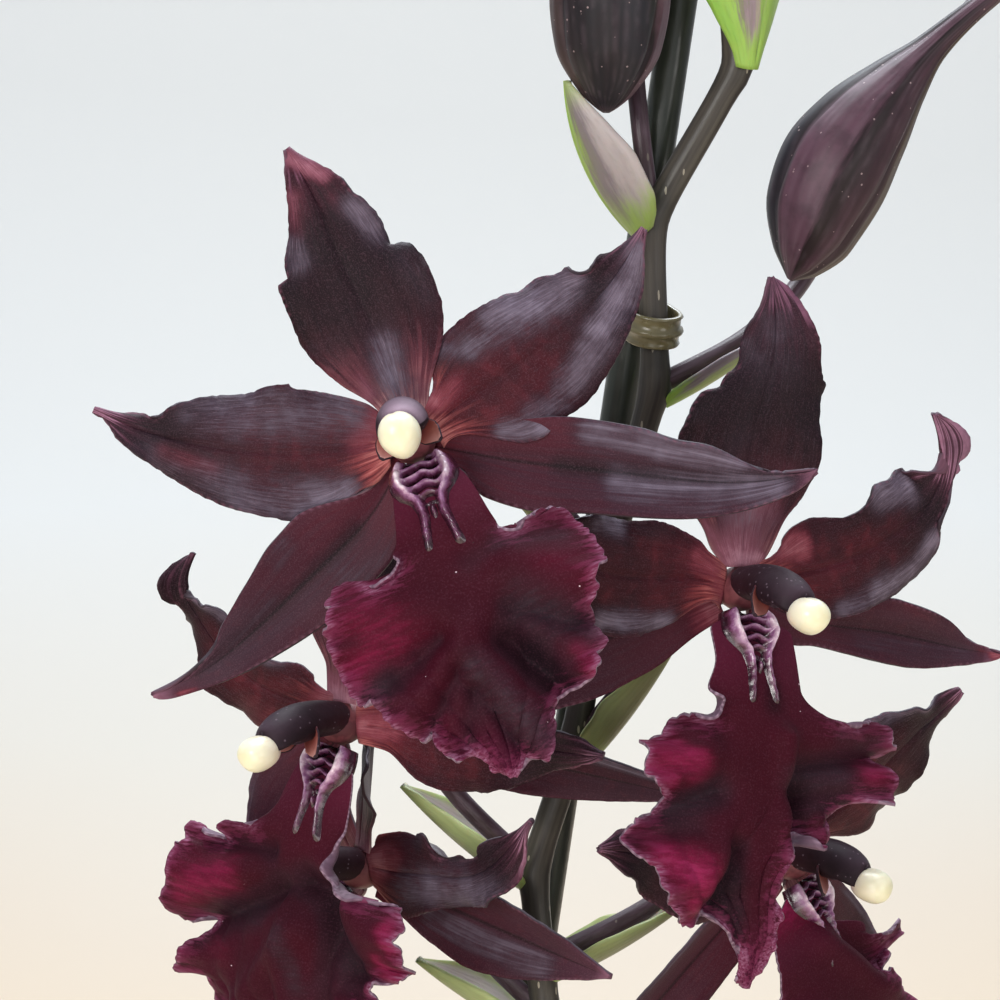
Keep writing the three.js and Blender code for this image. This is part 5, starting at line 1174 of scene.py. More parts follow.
def callus_piece(name, lip, frames, seed, node):
    rows, columns = 80, 46
    at = np.linspace(-0.6, 10.9, rows + 1)[:, None]
    across = np.linspace(-1, 1, columns + 1)[None, :]
    over, tall = (column[:, None] for column in through(KEEL, at[:, 0]).T)
    x = across * (over + 1.2)
    width = 0.8 - 0.22 * smooth((at - 2.5) / 4)
    keel = tall * np.exp(-((np.abs(x) - over) / width) ** 2) * (1 + 0.07 * wobble(seed, at, 0.7))
    inside = smooth((over + 0.1 - np.abs(x)) / 0.7)
    wave = np.sin(2 * np.pi * (at / 1.25 + 0.2 * np.cos(1.9 * x) + 0.12 * wobble(seed + 9, x, 0.4)))
    wrinkle = tall * inside * (1 - smooth((at - 4) / 2.2)) * (0.42 + 0.3 * wave)
    tooth = 1.1 * np.exp(-(x / 0.4) ** 2 - ((at - 6) / 1) ** 2)
    height = (keel**4 + np.maximum(wrinkle, 0) ** 4 + tooth**4) ** 0.25
    p, b, n = on_spine(frames, at / lip["length"] + 0 * x)
    claw = p + b * x[..., None]
    uv = np.stack(np.broadcast_arrays((at + 0.6) / 11.5, (across + 1) / 2), -1)
    form = np.stack([np.clip(height / 2.2, 0, 1), np.zeros_like(height)], -1)
    top = claw + n * (height - 0.1)[..., None]
    closed_piece(name, top, claw - n * 0.45, (uv, form), [GLOSS], "lip", node)


# %% Build the five blooms
PARTS = dict(dorsal=UPPER, petal_l=PETAL_FACE, petal_r=PETAL_FACE, lateral_l=LOWER, lateral_r=LOWER)
POLAR = np.linspace(0.05, 3.09, 14)
for number, (node, bloom) in enumerate(BLOOMS.items(), 1):
    axes = facing(*bloom["face"])
    centre = np.array(bloom["at"], float)
    for k, (part, material) in enumerate(PARTS.items()):
        blade = {**TEPAL_GRID, **TEPALS[part], "seed": 10 * number + k, **bloom["bends"][part],
                 **EXTRA.get(f"{node}_{part}", {})}
        blade_piece(f"{node}_{part}", blade, axes, centre, [material, BACK], "tepal", node)
    lip_node = f"{node}_lip"
    lip = {**LIP_BLADE, "seed": 100 + number, **bloom["bends"]["lip"], **EXTRA.get(lip_node, {})}
    blade_piece(f"{node}_lip_blade", lip, axes, centre, [LIP_FACE, LIP_BACK], "lip", lip_node)
    callus_piece(f"{node}_callus", lip, spine(lip, axes, centre), number, lip_node)
    column = {**COLUMN, **bloom["bends"]["column"]}
    round_piece(f"{node}_column", loft(column_rings(axes, centre, column)),
                STRONG_SHEEN_VELVET if number == 1 else VELVET, node)
    for sign, side in ((-1, "l"), (1, "r")):
        wing_piece(f"{node}_wing_{side}", axes, centre, column, sign, node)
    round_piece(f"{node}_anther_cap", loft(cap_rings(axes, centre, column)), CREAM,
                f"{node}_cap")
    ball = tube(centre - np.outer((HUB - 0.2) * np.cos(POLAR), axes[2]),
                np.maximum(0.2, HUB * 0.82 * np.sin(POLAR)), 24)
    round_piece(f"{node}_hub", ball, ROSE, node)


# %% [markdown]
# ## Stem and stalks
# The stem is olive-brown with pale flecks, and zigzags from joint to joint. Each flower stalk is darker,
# mauve-maroon, and thickens into a ribbed ovary behind its flower. They are separate tubes that start
# inside the stem, as on the plant, so each can have its own finish.

# %% Joints of the stem and its way up
STEM_FOOT = [[-13.5, -12, 86], [-14.5, -11.5, 100], [-17.5, -10.5, 124], [-15, -8, 160], [-8, -2.5, 204],
             [0.8, -1.2, 250], [8.2, -1, 300], [15.5, -1.3, 350], [23, -2.5, 402]]
JOINTS = {"d": [29.5, -4, 438.6], "e": [29, -4, 445.3], "c": [28.1, -3.5, 456.7],
          "b": [32.8, -3, 471.7], "a": [36.7, -2, 494.5], "right": [42.4, -1, 515.3],
          "left": [41.9, -1, 534.9], "high": [51.7, -1, 552.8], "small": [49.5, 0, 571],
          "smaller": [55, 1, 587], "last": [53.2, 2, 600]}
STEM_TIP = [55.6, 2.4, 609]
BUDS = [
    dict(joint="left", way=[[40.5, 0.5, 546], [39.5, 5, 560], [39.2, 4.6, 576], [38.4, 0.4, 584]],
         base=[37.2, -3.6, 578], tip=[36.3, -4, 547.4], radius=6.9, stalk=1.1, turn=-150),
    dict(joint="right", way=[[53.3, 1, 520.9], [60.6, 8.2, 527.1], [67, 14, 538], [76, 15.5, 553],
                             [86, 13.5, 565], [88, 9.5, 567]],
         base=[83.5, 6.6, 562], tip=[58.6, 2.3, 527.8], bow=[-7.2, -0.4, 2.6], radius=6.9, stalk=1.2,
         turn=-28, shape=[[0, 0.18], [0.1, 0.21], [0.22, 0.29], [0.34, 0.52], [0.5, 0.84], [0.66, 1],
                          [0.82, 0.88], [0.94, 0.47], [0.985, 0.16], [1, 0.05]]),
    dict(joint="high", way=[[53, -1.6, 560], [55.2, -2.6, 567.5]], base=[57.6, -3.4, 574],
         tip=[63.4, -6, 594.5], radius=4.4, stalk=1.1),
    dict(joint="small", way=[[47, -2.5, 578]], base=[45.8, -3.4, 582], tip=[42.6, -5.2, 599], radius=3.6,
         stalk=0.9),
    dict(joint="smaller", way=[[58, -0.5, 592]], base=[59.2, -1, 595], tip=[62, -2, 608], radius=2.8,
         stalk=0.8),
    dict(joint="last", way=[[51, 1, 604]], base=[50.2, 0.6, 606], tip=[48.6, 0, 615], radius=2.1, stalk=0.7),
]


# %% Finishes of stem and stalks
def stem_skin(name, base, light, dark, flecks, patchy):
    skin = Skin(name, 0.42, 0.42, 0.05, "#d8d8e0")
    fibres = skin.fibres(16, 0.8)
    skin.colour = base
    skin.wash(skin.streaks(14, 9, 0.38, 0.66), light)
    skin.wash(skin.blots(60, 0.42, 0.62) * patchy, dark)
    long_place = put(skin.tree, "ShaderNodeMapping", {"Vector": skin.here, "Scale": (1, 1, 0.28)}).outputs[0]
    speck = skin.placed(speck_dots, place=long_place, scale=1500, size=0.22, share=0.2)
    skin.wash(speck * flecks, "#a49c8c")
    skin.wash(fibres * 0.12, dark)
    return skin.done(fibres, 0.2, 0.0001)


STEM_SKIN = stem_skin("stem_olive", "#38332f", "#514c44", "#282723", 0.9, 0.7)
STALK_SKIN = stem_skin("stalk_mauve", "#3f2b33", "#574450", "#2a1a20", 0.25, 0.6)

# %% The stem, thicker at each joint, with a thin scar ring at three heights lower down
nodes = np.array(STEM_FOOT + list(JOINTS.values()) + [STEM_TIP], float)
marks, places = curve(nodes, 14)
straight = np.stack([np.interp(places, range(len(nodes)), nodes[:, k]) for k in range(3)], -1)
first, blooming = len(STEM_FOOT), len(STEM_FOOT) + 6
near_joint = np.exp(-(np.minimum(places % 1, 1 - places % 1) / 0.1) ** 2)
share = (0.8 * smooth(places - first + 1) * (1 - 0.7 * near_joint))[:, None]
path = marks * (1 - share) + straight * share
size = np.where(places < first, 2.6 - 0.9 * places / first, 1.7 - 1 * smooth((places - blooming) / 5))
for joint in JOINTS.values():
    size = size * (1 + 0.2 * np.exp(-(np.linalg.norm(path - joint, axis=1) / 2.4) ** 2))
for height in (150, 235, 330):
    size = size * (1 + 0.22 * np.exp(-(np.abs(path[:, 2] - height) / 2) ** 2))
round_piece("stem_rachis", tube(path, size, 20, 0.03, 5), STEM_SKIN, "flower_stem")

# %% A stalk for each bloom, and one for each bud
for node, bloom in BLOOMS.items():
    z = facing(*bloom["face"])[2]
    back = np.array(bloom["at"]) - z * (HUB + FIT - 0.9)
    way, _ = curve([JOINTS[bloom["joint"]]] + bloom["way"] + [back - z * 7, back], 10)
    share = np.linspace(0, 1, len(way))
    size = 1.15 + 0.42 * smooth((share - 0.42) * 2.2) + 0.5 * smooth((share - 0.94) / 0.06)
    round_piece(f"{node}_stalk", tube(way, size, 24, 0.07, 3, 3), STALK_SKIN, "flower_stem")
for k, bud in enumerate(BUDS, 1):
    base = np.array(bud["base"], float)
    away = unit(base - bud["tip"])
    way, _ = curve([JOINTS[bud["joint"]]] + bud["way"] + [base + away * 2.8, base + away * FIT], 8)
    size = bud["stalk"] * (1 + 0.12 * smooth((np.linspace(0, 1, len(way)) - 0.8) * 5))
    round_piece(f"bud_{k}_stalk", tube(way, size, 18, 0.05, 3, 2), STALK_SKIN, "flower_stem")

# %% [markdown]
# ## Buds
# A bud is a teardrop of three sepals whose edges meet in seams that turn a little round it. The seams
# are real grooves in the rings. Mauve panels, the lightest of them partly painted light, a dark panel
# and a tan edge run along the sepals.

# %% Bud finish and shape
def bud_skin():
    skin = Skin("bud_mauve", 0.46, 0.3, 0.03, "#b9b0c4")
    streaks = skin.streaks(2.5, 13, 0.36, 0.68)
    fibres = skin.fibres(30, 1.4)
    # Colours round the bud, panel by panel with dark seams between; the lightest mauve panel is painted
    # lighter on the side that faces the lamps.
    skin.colour = ((streaks - 0.5) * 0.035 + skin.across).ramp({
        0: "#2b1f22", 0.12: "#4a3c2c", 0.16: "#33222a", 0.24: "#452c37", 0.305: "#1c1114", 0.33: "#1c1114",
        0.35: "#573a48", 0.47: "#5f4351", 0.5: "#1f171b", 0.53: "#27262d", 0.72: "#18171c",
        0.83: "#221b1e", 0.86: "#443534", 0.95: "#403230", 1: "#2b1f22"})
    skin.wash(skin.blots(320, 0.4, 0.7) * 0.4, "#241a20")
    skin.wash(streaks * 0.3, "#221519")
    skin.wash(fibres * 0.1, "#8c7884")
    skin.wash((skin.along.spread(0.14, 0) + skin.along.spread(0.93, 1)) * 0.5, "#55404c")
    skin.wash(skin.specks(1300, 0.16, 0.2) * 0.55, "#b39c9e")
    return skin.done(fibres, 0.25, 0.00012)


BUD_SKIN = bud_skin()


TEARDROP = [[0, 0.15], [0.05, 0.19], [0.12, 0.33], [0.32, 0.76], [0.56, 1], [0.76, 0.88], [0.92, 0.47],
            [0.985, 0.16], [1, 0.05]]


def bud_rings(bud):
    axis = np.subtract(bud["tip"], bud["base"])
    bow = np.array(bud.get("bow", [0, 0, 0]), float)
    x = unit(np.cross(axis, [0, 1, 0]))
    y = unit(np.cross(axis, x))
    angle = around(60)
    rings = []
    for share in np.concatenate([np.linspace(0, 0.9, 44), np.linspace(0.915, 1, 10)]):
        size = bud["radius"] * through(bud.get("shape", TEARDROP), share)[0]
        seam = 0
        for k in range(3):
            apart = np.angle(np.exp(1j * (angle - np.pi / 3 - 2 * np.pi * k / 3 - 0.35 * (share - 0.5))))
            seam = seam + 0.075 * np.exp(-(apart / 0.09) ** 2) - 0.03 * np.exp(-((apart - 0.22) / 0.12) ** 2)
        r = size * (1 + 0.05 * np.cos(3 * angle) - seam * smooth(share / 0.15) + 0.015 * np.cos(12 * angle))
        rings.append(ring(bud["base"] + axis * share + bow * 2 * share * (1 - share), x, y, r, r,
                          angle + rad(bud.get("turn", 0))))
    return rings


for k, bud in enumerate(BUDS, 1):
    round_piece(f"bud_{k}_sepals", loft(bud_rings(bud)), BUD_SKIN, f"bud_{k}")

# %% [markdown]
# ## Bracts
# A bract is a small boat-shaped scale that once covered its bud. Outside it is yellow-green at the foot
# and the margin, with a mauve-grey wash; inside it is paler and, high on the stem, pinkish.

# %% Bract finishes
def bract_skin(name, foot, tip, sides):
    """Green foot, then colours from one margin across to the other."""
    skin = Skin(name, 0.42, 0.42, 0.05)
    skin.glow_through(0.12, 0.001)
    streaks = skin.streaks(2.2, 9, 0.36, 0.66)
    fibres = skin.fibres(15, 0.5)
    skin.colour = ((streaks - 0.5) * 0.12 + skin.across).ramp(sides)
    skin.wash((streaks * 0.12 + skin.along).spread(0.36, 0.12), foot)
    skin.wash(skin.along.spread(0.8, 1) * 0.6, tip)
    skin.wash(fibres * 0.14, "#5f6a4a")
    return skin.done(fibres, 0.25, 0.00012)


GREEN_OUT = bract_skin("bract_green_outside", "#8fa658", "#9bb750", {
    0: "#b3a8a6", 0.14: "#a59a99", 0.26: "#7d7276", 0.38: "#7d7a6a", 0.46: "#8fae48", 0.62: "#9abd50",
    1: "#a0b575"})
HIGH_OUT = bract_skin("bract_high_outside", "#93b852", "#8aa34e", {
    0: "#8fb254", 0.5: "#8fb254", 0.58: "#a39a8a", 0.68: "#8f7d86", 0.74: "#7d7a66", 0.78: "#93b94f",
    1: "#86b54a"})
GREEN_IN = bract_skin("bract_green_inside", "#b9c98a", "#b0b88a", {
    0: "#b9c98a", 0.2: "#c4b9b4", 0.8: "#c4b9b4", 1: "#b9c98a"})
OLIVE_OUT = bract_skin("bract_olive_outside", "#8f9f58", "#7d8450", {
    0: "#a8b57c", 0.3: "#8f9a64", 0.7: "#77764f", 1: "#8f9a64"})
MAUVE_OUT = bract_skin("bract_mauve_outside", "#93bc4c", "#7a6a74", {
    0: "#7c6f78", 0.62: "#a9ba7c", 0.76: "#a8bf6a", 0.88: "#8f858a", 1: "#7c6f78"})

# %% Shape of the bracts
BRACTS = [
    dict(joint="d", along=[-22, 2, 12], length=17, half=4, skin=OLIVE_OUT),
    dict(joint="e", along=[25, 3, 12], length=18, half=4, skin=OLIVE_OUT),
    dict(joint="c", along=[-21, 2, 16], length=19, half=4.2, skin=OLIVE_OUT),
    dict(joint="b", along=[14, -4, 19], length=18, half=4.2, skin=OLIVE_OUT),
    dict(joint="a", along=[-16, -4, 16], length=14, half=3.8, skin=OLIVE_OUT),
    dict(joint="right", along=[12, 1, 7], length=17, half=2.6, skin=MAUVE_OUT, ripple=0),
    dict(joint="left", along=[-14, -4, 15], length=20.5, half=5.6, skin=GREEN_OUT, ripple=0, bend=44),
    dict(joint="high", along=[1.5, -2, 18], length=20, half=6.8, tilt=-8, skin=HIGH_OUT, ripple=0,
         outline=[[0, 0.22], [0.08, 0.3], [0.3, 0.66], [0.55, 1], [0.8, 0.7], [1, 0.05]]),
    dict(joint="small", along=[-5, -4, 14], length=12, half=3.2, skin=GREEN_OUT),
]
SCALE = [[0, 0.42], [0.08, 0.72], [0.2, 0.92], [0.45, 1], [0.7, 0.72], [0.9, 0.3], [1, 0.05]]
BRACT = dict(lift=-2.6, tilt=-4, bend=14, cup=0.75, rows=40, columns=24, thick=0.8, ripple=0.12, ripples=3,
             midrib=-0.2, sheen_glow_shade=())
for k, bract in enumerate(BRACTS, 1):
    along = unit(np.array(bract["along"], float))
    inward = np.cross(unit(np.cross(along, [0, 0, 1])), along)
    blade = {**BRACT, "seed": 200 + k, **bract, "outline": even(bract.get("outline", SCALE), bract["half"])}
    blade_piece(f"bract_{k}_scale", blade, (np.cross(along, inward), along, inward), JOINTS[bract["joint"]],
                [GREEN_IN, bract["skin"]], "bract_mauve" if k == 6 else "bract_green", f"bract_{k}")

# %% [markdown]
# ## Stake and clips
# A smooth dark green-black stake carries the stem. A ridged olive clip holds the two together. Both are
# smooth factory-made things, so their skins are plain, with a faint streak and a soft gloss.

# %% Stake and clip finishes
def smooth_skin(name, base, streak, roughness, coat):
    skin = Skin(name, roughness, 0.5, coat=coat)
    fine = skin.noise(700, 3)
    skin.colour = base
    skin.wash(skin.streaks(4, 12, 0.36, 0.68) * 0.6, streak)
    return skin.done(fine, 0.1, 0.00008, fine.spread(0.3, 0.7, roughness - 0.06, roughness + 0.1))


STAKE_SKIN = smooth_skin("stake_dark", "#2b3029", "#3a4036", 0.36, 0.2)
CLIP_SKIN = smooth_skin("clip_olive", "#6e6646", "#57503a", 0.3, 0.5)

# %% The stake: a rod with rounded ends
STAKE = dict(radius=2.1, foot=[-32.2, 4.5, 15], top=[49.2, 4.5, 588])
foot, top = np.array(STAKE["foot"]), np.array(STAKE["top"])
shares = np.concatenate([[0, 0.0008, 0.002], np.linspace(0.005, 0.995, 40), [0.998, 0.9992, 1]])
size = STAKE["radius"] * np.interp(shares, [0, 0.0008, 0.002, 0.004, 0.996, 0.998, 0.9992, 1],
                                   [0.3, 0.62, 0.85, 1, 1, 0.85, 0.62, 0.3])
round_piece("stake_rod", tube([foot + (top - foot) * s for s in shares], size, 32), STAKE_SKIN,
            "stake")

# %% The clips: a ridged profile swept round stem and stake
CLIP = dict(heights=[522.3, 300], inner=2.6, wall=0.5, ridge=0.95, below=1.8, above=2, lean=14)


def clip_skin_rings(height):
    rod = foot + (top - foot) * (height - foot[2]) / (top[2] - foot[2])
    stem, _ = curve(STEM_FOOT + list(JOINTS.values()), 40)
    near = stem[np.argmin(np.abs(stem[:, 2] - height))]
    across = (rod - near) * [1, 1, 0]
    gap, turn = np.linalg.norm(across), math.atan2(across[1], across[0])
    inner, wall, ridge = CLIP["inner"], CLIP["wall"], CLIP["ridge"]
    low, high = -CLIP["below"], CLIP["above"]
    outer = inner + wall
    profile = np.array([[inner, low + 0.2], [inner + 0.15, low], [outer, low], [outer + 0.15, low + 0.25],
                        [outer, low + 0.5], [outer, -0.5], [inner + 0.85, -0.3], [inner + ridge, 0],
                        [inner + 0.85, 0.25], [outer, 0.4], [outer, high - 0.5],
                        [outer + 0.22, high - 0.25], [outer, high], [inner + 0.15, high],
                        [inner, high - 0.2]])
    rings = []
    for a in around(72) + math.pi / 72:
        shift = gap if math.cos(a) > 0 else 0
        rings.append(np.stack([shift + profile[:, 0] * math.cos(a), profile[:, 0] * math.sin(a),
                               profile[:, 1]], -1))
    spin = Matrix.Rotation(turn, 3, "Z") @ Matrix.Rotation(rad(-CLIP["lean"]), 3, "Y")
    return rings @ np.array(spin).T + [near[0], near[1], height]


for k, height in enumerate(CLIP["heights"], 1):
    rings = clip_skin_rings(height)
    count, sides = rings.shape[:2]
    corners = [[(i, j), (i + 1, j), (i + 1, j + 1), (i, j + 1)] for i in range(count) for j in range(sides)]
    faces = [[i % count * sides + j % sides for i, j in face] for face in corners]
    places = [(i / count, j / sides) for face in corners for i, j in face]
    round_piece(f"clip_{k}_band", (rings.reshape(-1, 3), faces, places), CLIP_SKIN, f"clip_{k}")

# %% [markdown]
# ## Leaves
# The leaves are leathery straps with a folded foot, an arching blade and a keel below the midrib. They
# are the same kind of sheet as a petal, only longer. Fine parallel veins, a paler midrib and a slightly
# yellow foot keep them from looking like plastic.

# %% Leaf finish
def leaf_skin(name, middle, dark, foot, gloss):
    skin = Skin(name, gloss, 0.45, coat=0.08)
    patches = skin.blots(22, 0.4, 0.64)
    fibres = skin.fibres(30, 0.35)
    skin.colour = skin.along.ramp({0: foot, 0.1: foot, 0.3: middle, 0.85: middle, 0.97: dark, 1: "#7c6a3e"})
    skin.wash(skin.streaks(5, 11, 0.34, 0.68) * 0.5, dark)
    skin.wash(patches * 0.25, "#6f8a3e")
    skin.wash(skin.side.spread(0.09, 0.015) * 0.4, "#86a052")
    skin.wash(skin.side.spread(0.965, 1) * 0.4, "#8ba35a")
    skin.wash(fibres * 0.14, "#7e9a4e")
    skin.wash(skin.specks(240, 0.1, 0.12) * 0.35, "#3a4a24")
    return skin.done(fibres, 0.22, 0.0002, patches.spread(0, 1, gloss - 0.05, gloss + 0.1))


LEAF_FACE = leaf_skin("leaf_face", "#46682a", "#37541f", "#8a9a52", 0.38)
LEAF_BACK = leaf_skin("leaf_back", "#5a7c3c", "#4b6c30", "#97a562", 0.5)

# %% The bulbs' places, and the leaves that grow on them
BULBS = [
    dict(at=[20, 30], height=50, wide=16, deep=10.2, turn=14),
    dict(at=[13, 6], height=59, wide=18, deep=11.2, turn=-8),
    dict(at=[5, -18], height=67, wide=19, deep=11.4, turn=6),
    dict(at=[-4, -40], height=44, wide=13, deep=8, turn=-12),
]
BULB_FOOT = 93
LEAVES = [
    (0, "top", 0, 62, 215, 15, 20, 62), (1, "top", 4.4, 18, 262, 17, 16, 74),
    (1, "top", -4.4, 132, 250, 16, 24, 66), (2, "top", 4.4, -28, 285, 18, 15, 78),
    (2, "top", -4.4, 222, 276, 17.5, 22, 72), (2, "side", 0.905, -4, 220, 15.5, 34, 58),
    (3, "top", 3.4, -58, 236, 15, 14, 80), (3, "top", -3.4, 196, 226, 14.5, 20, 76),
    (3, "side", 0.915, -22, 172, 13.5, 38, 60), (3, "side", -1, 214, 160, 13, 42, 56),
]
LEAF = [[0, 0.2], [0.06, 0.22], [0.2, 0.5], [0.42, 0.97], [0.55, 1], [0.75, 0.78], [0.9, 0.38], [1, 0.04]]
for k, (bulb_number, origin, shift, heading, length, half, lean, arch) in enumerate(LEAVES, 1):
    bulb = BULBS[bulb_number]
    foot = np.array([*bulb["at"], BULB_FOOT + (bulb["height"] + 0.6 if origin == "top" else 8)], float)
    foot += level_way(bulb["turn"]) * (shift if origin == "top" else shift * (bulb["wide"] * 0.76 + 4))
    y, z = np.array([0, 0, 1]), -level_way(heading)
    blade = dict(length=length, outline=even(LEAF, half), tilt=-lean, bend=-arch, keel=0.22, fold=0.5,
                 cup=0.04, ruffle=0.8, waves=1.5, rows=96, columns=20, thick=0.9, ripple=0.5, ripples=5,
                 seed=300 + k)
    blade_piece(f"leaf_{k}_blade", blade, (np.cross(y, z), y, z), foot, [LEAF_FACE, LEAF_BACK], "leaf",
                f"leaf_{k}")

# %% [markdown]
# ## Pseudobulbs and their papery sheaths
# A pseudobulb stores water: a flattened egg, ribbed with age, green with brown-purple freckles. Torn,
# papery sheaths cling to its foot. The ribs are modelled in the rings and the sheaths are thin sheets.

# %% Bulb and sheath finishes
def bulb_skin():
    skin = Skin("pseudobulb_green", 0.4, 0.45, coat=0.1)
    fibres = skin.fibres(26, 0.8)
    skin.colour = skin.along.ramp({0: "#8f8f52", 0.2: "#71853c", 0.7: "#6c8a3a", 1: "#7b7a4c"})
    skin.wash(skin.streaks(3, 14, 0.34, 0.68) * 0.5, "#56702c")
    skin.wash(skin.blots(50, 0.46, 0.6) * 0.4, "#6a4a3c")
    skin.wash(skin.specks(420, 0.2, 0.2) * 0.6, "#4b2f33")
    skin.wash(fibres * 0.15, "#93a55c")
    return skin.done(fibres, 0.25, 0.0003)


def sheath_skin():
    skin = Skin("sheath_paper", 0.7, 0.3, 0.1, "#fff4dc")
    skin.colour = skin.along.ramp({0: "#8a7350", 0.5: "#a8916a", 1: "#c4b08a"})
    skin.wash(skin.streaks(2, 22, 0.36, 0.66) * 0.6, "#7a6240")
    return skin.done(skin.fibres(36, 0.9), 0.5, 0.0004)


BULB_SKIN, SHEATH_SKIN = bulb_skin(), sheath_skin()

# %% Bulbs: ribbed rings, flat across and widest below the middle
EGG = [[-0.02, 0.3], [0, 0.52], [0.12, 0.76], [0.3, 0.97], [0.45, 1], [0.65, 0.86], [0.85, 0.52],
       [0.96, 0.3], [1, 0.2]]


def on_bulb(bulb, share, angle, swell, proud=0.0):
    """Places on a bulb's skin, swollen by its ribs or standing proud of it."""
    size = through(EGG, share)[..., 0] * swell
    x, y = (bulb["wide"] * size + proud) * np.cos(angle), (bulb["deep"] * size + proud) * np.sin(angle)
    cos, sin = math.cos(rad(bulb["turn"])), math.sin(rad(bulb["turn"]))
    return np.stack([bulb["at"][0] + x * cos - y * sin, bulb["at"][1] + x * sin + y * cos,
                     BULB_FOOT + share * bulb["height"] + 0 * x], -1)


for k, bulb in enumerate(BULBS, 1):
    angle, share = around(72)[None, :], np.linspace(-0.02, 1, 46)[:, None]
    ribs = 0.022 * np.cos(9 * angle + 0.8 * wobble(k, share, 1)) * smooth(share * 4)
    ribs = ribs - 0.02 * smooth(share) * np.cos(5 * angle + k)
    round_piece(f"pseudobulb_{k}_body", loft(on_bulb(bulb, share, angle, 1 + ribs)), BULB_SKIN,
                f"pseudobulb_{k}")

# %% Sheaths: torn papery wraps, two at the foot of each bulb
SHEATHS = [(-60, 165, 0.34), (140, 150, 0.26)]
for k, bulb in enumerate(BULBS, 1):
    for j, (start, turn, tall) in enumerate(SHEATHS, 1):
        up, over = np.linspace(0, 1, 25)[:, None], np.linspace(0, 1, 41)[None, :]
        torn = tall * (1 - 0.9 * np.abs(2 * over - 1) ** 3) * (1 + 0.22 * wobble(40 * k + j, over, 4))
        proud = 0.5 + 0.9 * up**2 + 0.35 * wobble(60 * k + j, over, 3) * up
        points = on_bulb(bulb, 0.015 + up * torn, np.radians(start + turn * over), 1, proud)
        uv = np.stack(np.broadcast_arrays(up, over), -1)
        closed_piece(f"pseudobulb_{k}_sheath_{j}", *thick(points, 0.5), (uv,), [SHEATH_SKIN], "pseudobulb",
                     f"pseudobulb_{k}")

# %% [markdown]
# ## Rhizome and roots
# The bulbs sit on a creeping woody stem. Thick roots leave it, silver-grey with a green tip, and dive
# into the bark. They are tubes, a little uneven, joined into one piece as they grow.

# %% Rhizome and root shapes and finish
RHIZOME = dict(radius=4.6, level=93.5, ends=[[27, 46], [-7, -50]])
ROOT = dict(radius=1.5, hop=7, dive=12)


def root_skin():
    skin = Skin("rhizome_root", 0.75, 0.3, 0.05)
    patches = skin.blots(120, 0.42, 0.6)
    rings = skin.placed(veins, along=skin.across, across=skin.along, count=20, wander=1.5)
    skin.colour = "#8d8666"
    skin.wash(patches, "#6b5c3e")
    skin.wash(rings * 0.3, "#b1ab92")
    return skin.done(patches + rings, 0.5, 0.0005)


start, end = RHIZOME["ends"]
path, _ = curve([[*at, RHIZOME["level"]] for at in (start, *(bulb["at"] for bulb in BULBS), end)], 12)
share = np.linspace(0, 1, len(path))
girth = RHIZOME["radius"] * (0.5 + 0.5 * smooth(np.minimum(share, 1 - share) * 5))
girth = girth * (1 + 0.05 * wobble(9, share, 9)) * (1 - 0.75 * smooth((np.abs(share - 0.5) - 0.485) / 0.015))
skins = [tube(path, girth, 24, 0.03, 5)]
for k, bulb in enumerate(BULBS[:3]):
    for sign in ((-1, 1) if k == 1 else (1 - k,)):
        out = sign * level_way(20 * (k - 1))
        start = np.array([bulb["at"][0] - 4, bulb["at"][1] - 11.5, RHIZOME["level"]])
        far = 17 - 2 * k
        way = [start + out * reach + [0, 0, up] for reach, up in (
            (0, 0), (far * 0.35, ROOT["hop"] * 0.6), (far * 0.8, ROOT["hop"]), (far * 1.15, 0),
            (far * 1.25, -ROOT["dive"]))]
        way, _ = curve(way, 10)
        run = np.linspace(0, 1, len(way))
        skins.append(tube(way, ROOT["radius"] * (1 + 0.07 * wobble(k + 70, run, 6)), 14))
round_piece("rhizome_and_roots", joined(skins), root_skin(), "rhizome")

# %% [markdown]
# ## Bark
# Orchids grow in coarse bark. A few hundred chips are made from a handful of rough shapes, each a block
# with broken edges, turned and sized by a seeded draw, and all joined into one mesh over a dark bed.

# %% Bark finish and one rough chip
def bark_skin():
    skin = Skin("bark_chips", 0.85, 0.3)
    fine, streaks = skin.blots(420, 0.36, 0.68), skin.streaks(9, 2, 0.36, 0.66)
    skin.colour = "#5d3a22"
    skin.wash(skin.blots(70, 0.36, 0.66), "#7d5535")
    skin.wash(streaks * 0.6, "#3f2616")
    skin.wash(fine * 0.35, "#96704a")
    return skin.done(fine + streaks, 0.8, 0.0008)


def rough_chip(seed):
    draw = np.random.default_rng(seed)
    made = bmesh.new()
    bmesh.ops.create_cube(made, size=2)
    bmesh.ops.bevel(made, geom=list(made.edges), offset=0.28, segments=1, affect="EDGES")
    bmesh.ops.subdivide_edges(made, edges=list(made.edges), cuts=1, use_grid_fill=True)
    bmesh.ops.triangulate(made, faces=list(made.faces))
    made.verts.index_update()
    points = np.array([v.co for v in made.verts])
    corners = [[v.index for v in f.verts] for f in made.faces]
    faces = sorted(min(tuple(np.roll(face, k).tolist()) for k in range(3)) for face in corners)
    made.free()
    for _ in range(4):
        way = draw.normal(size=3)
        points = points + 0.16 * np.sin(points @ way * 2.2 + draw.uniform(0, 6))[:, None] * draw.normal(
            size=3) * 0.6
    return points, faces


# %% The bed and a heap of chips
POT = dict(height=110, base=45, belly=57, rim=60, rim_height=13, wall=2.2, floor=2.5, holes=4, hole=4,
           hole_circle=27)
BARK_TOP = 94


def wall_radius(z):
    share = (z - POT["floor"]) / (POT["height"] - POT["rim_height"] - 2 - POT["floor"])
    return POT["base"] - POT["wall"] + (POT["belly"] - POT["base"]) * share - FIT


def turned_rings(profile, sides):
    """Rings round the pot's axis from radii and heights."""
    x, y, z = np.eye(3)
    return [ring(z * height, x, y, radius, radius, around(sides)) for radius, height in profile]


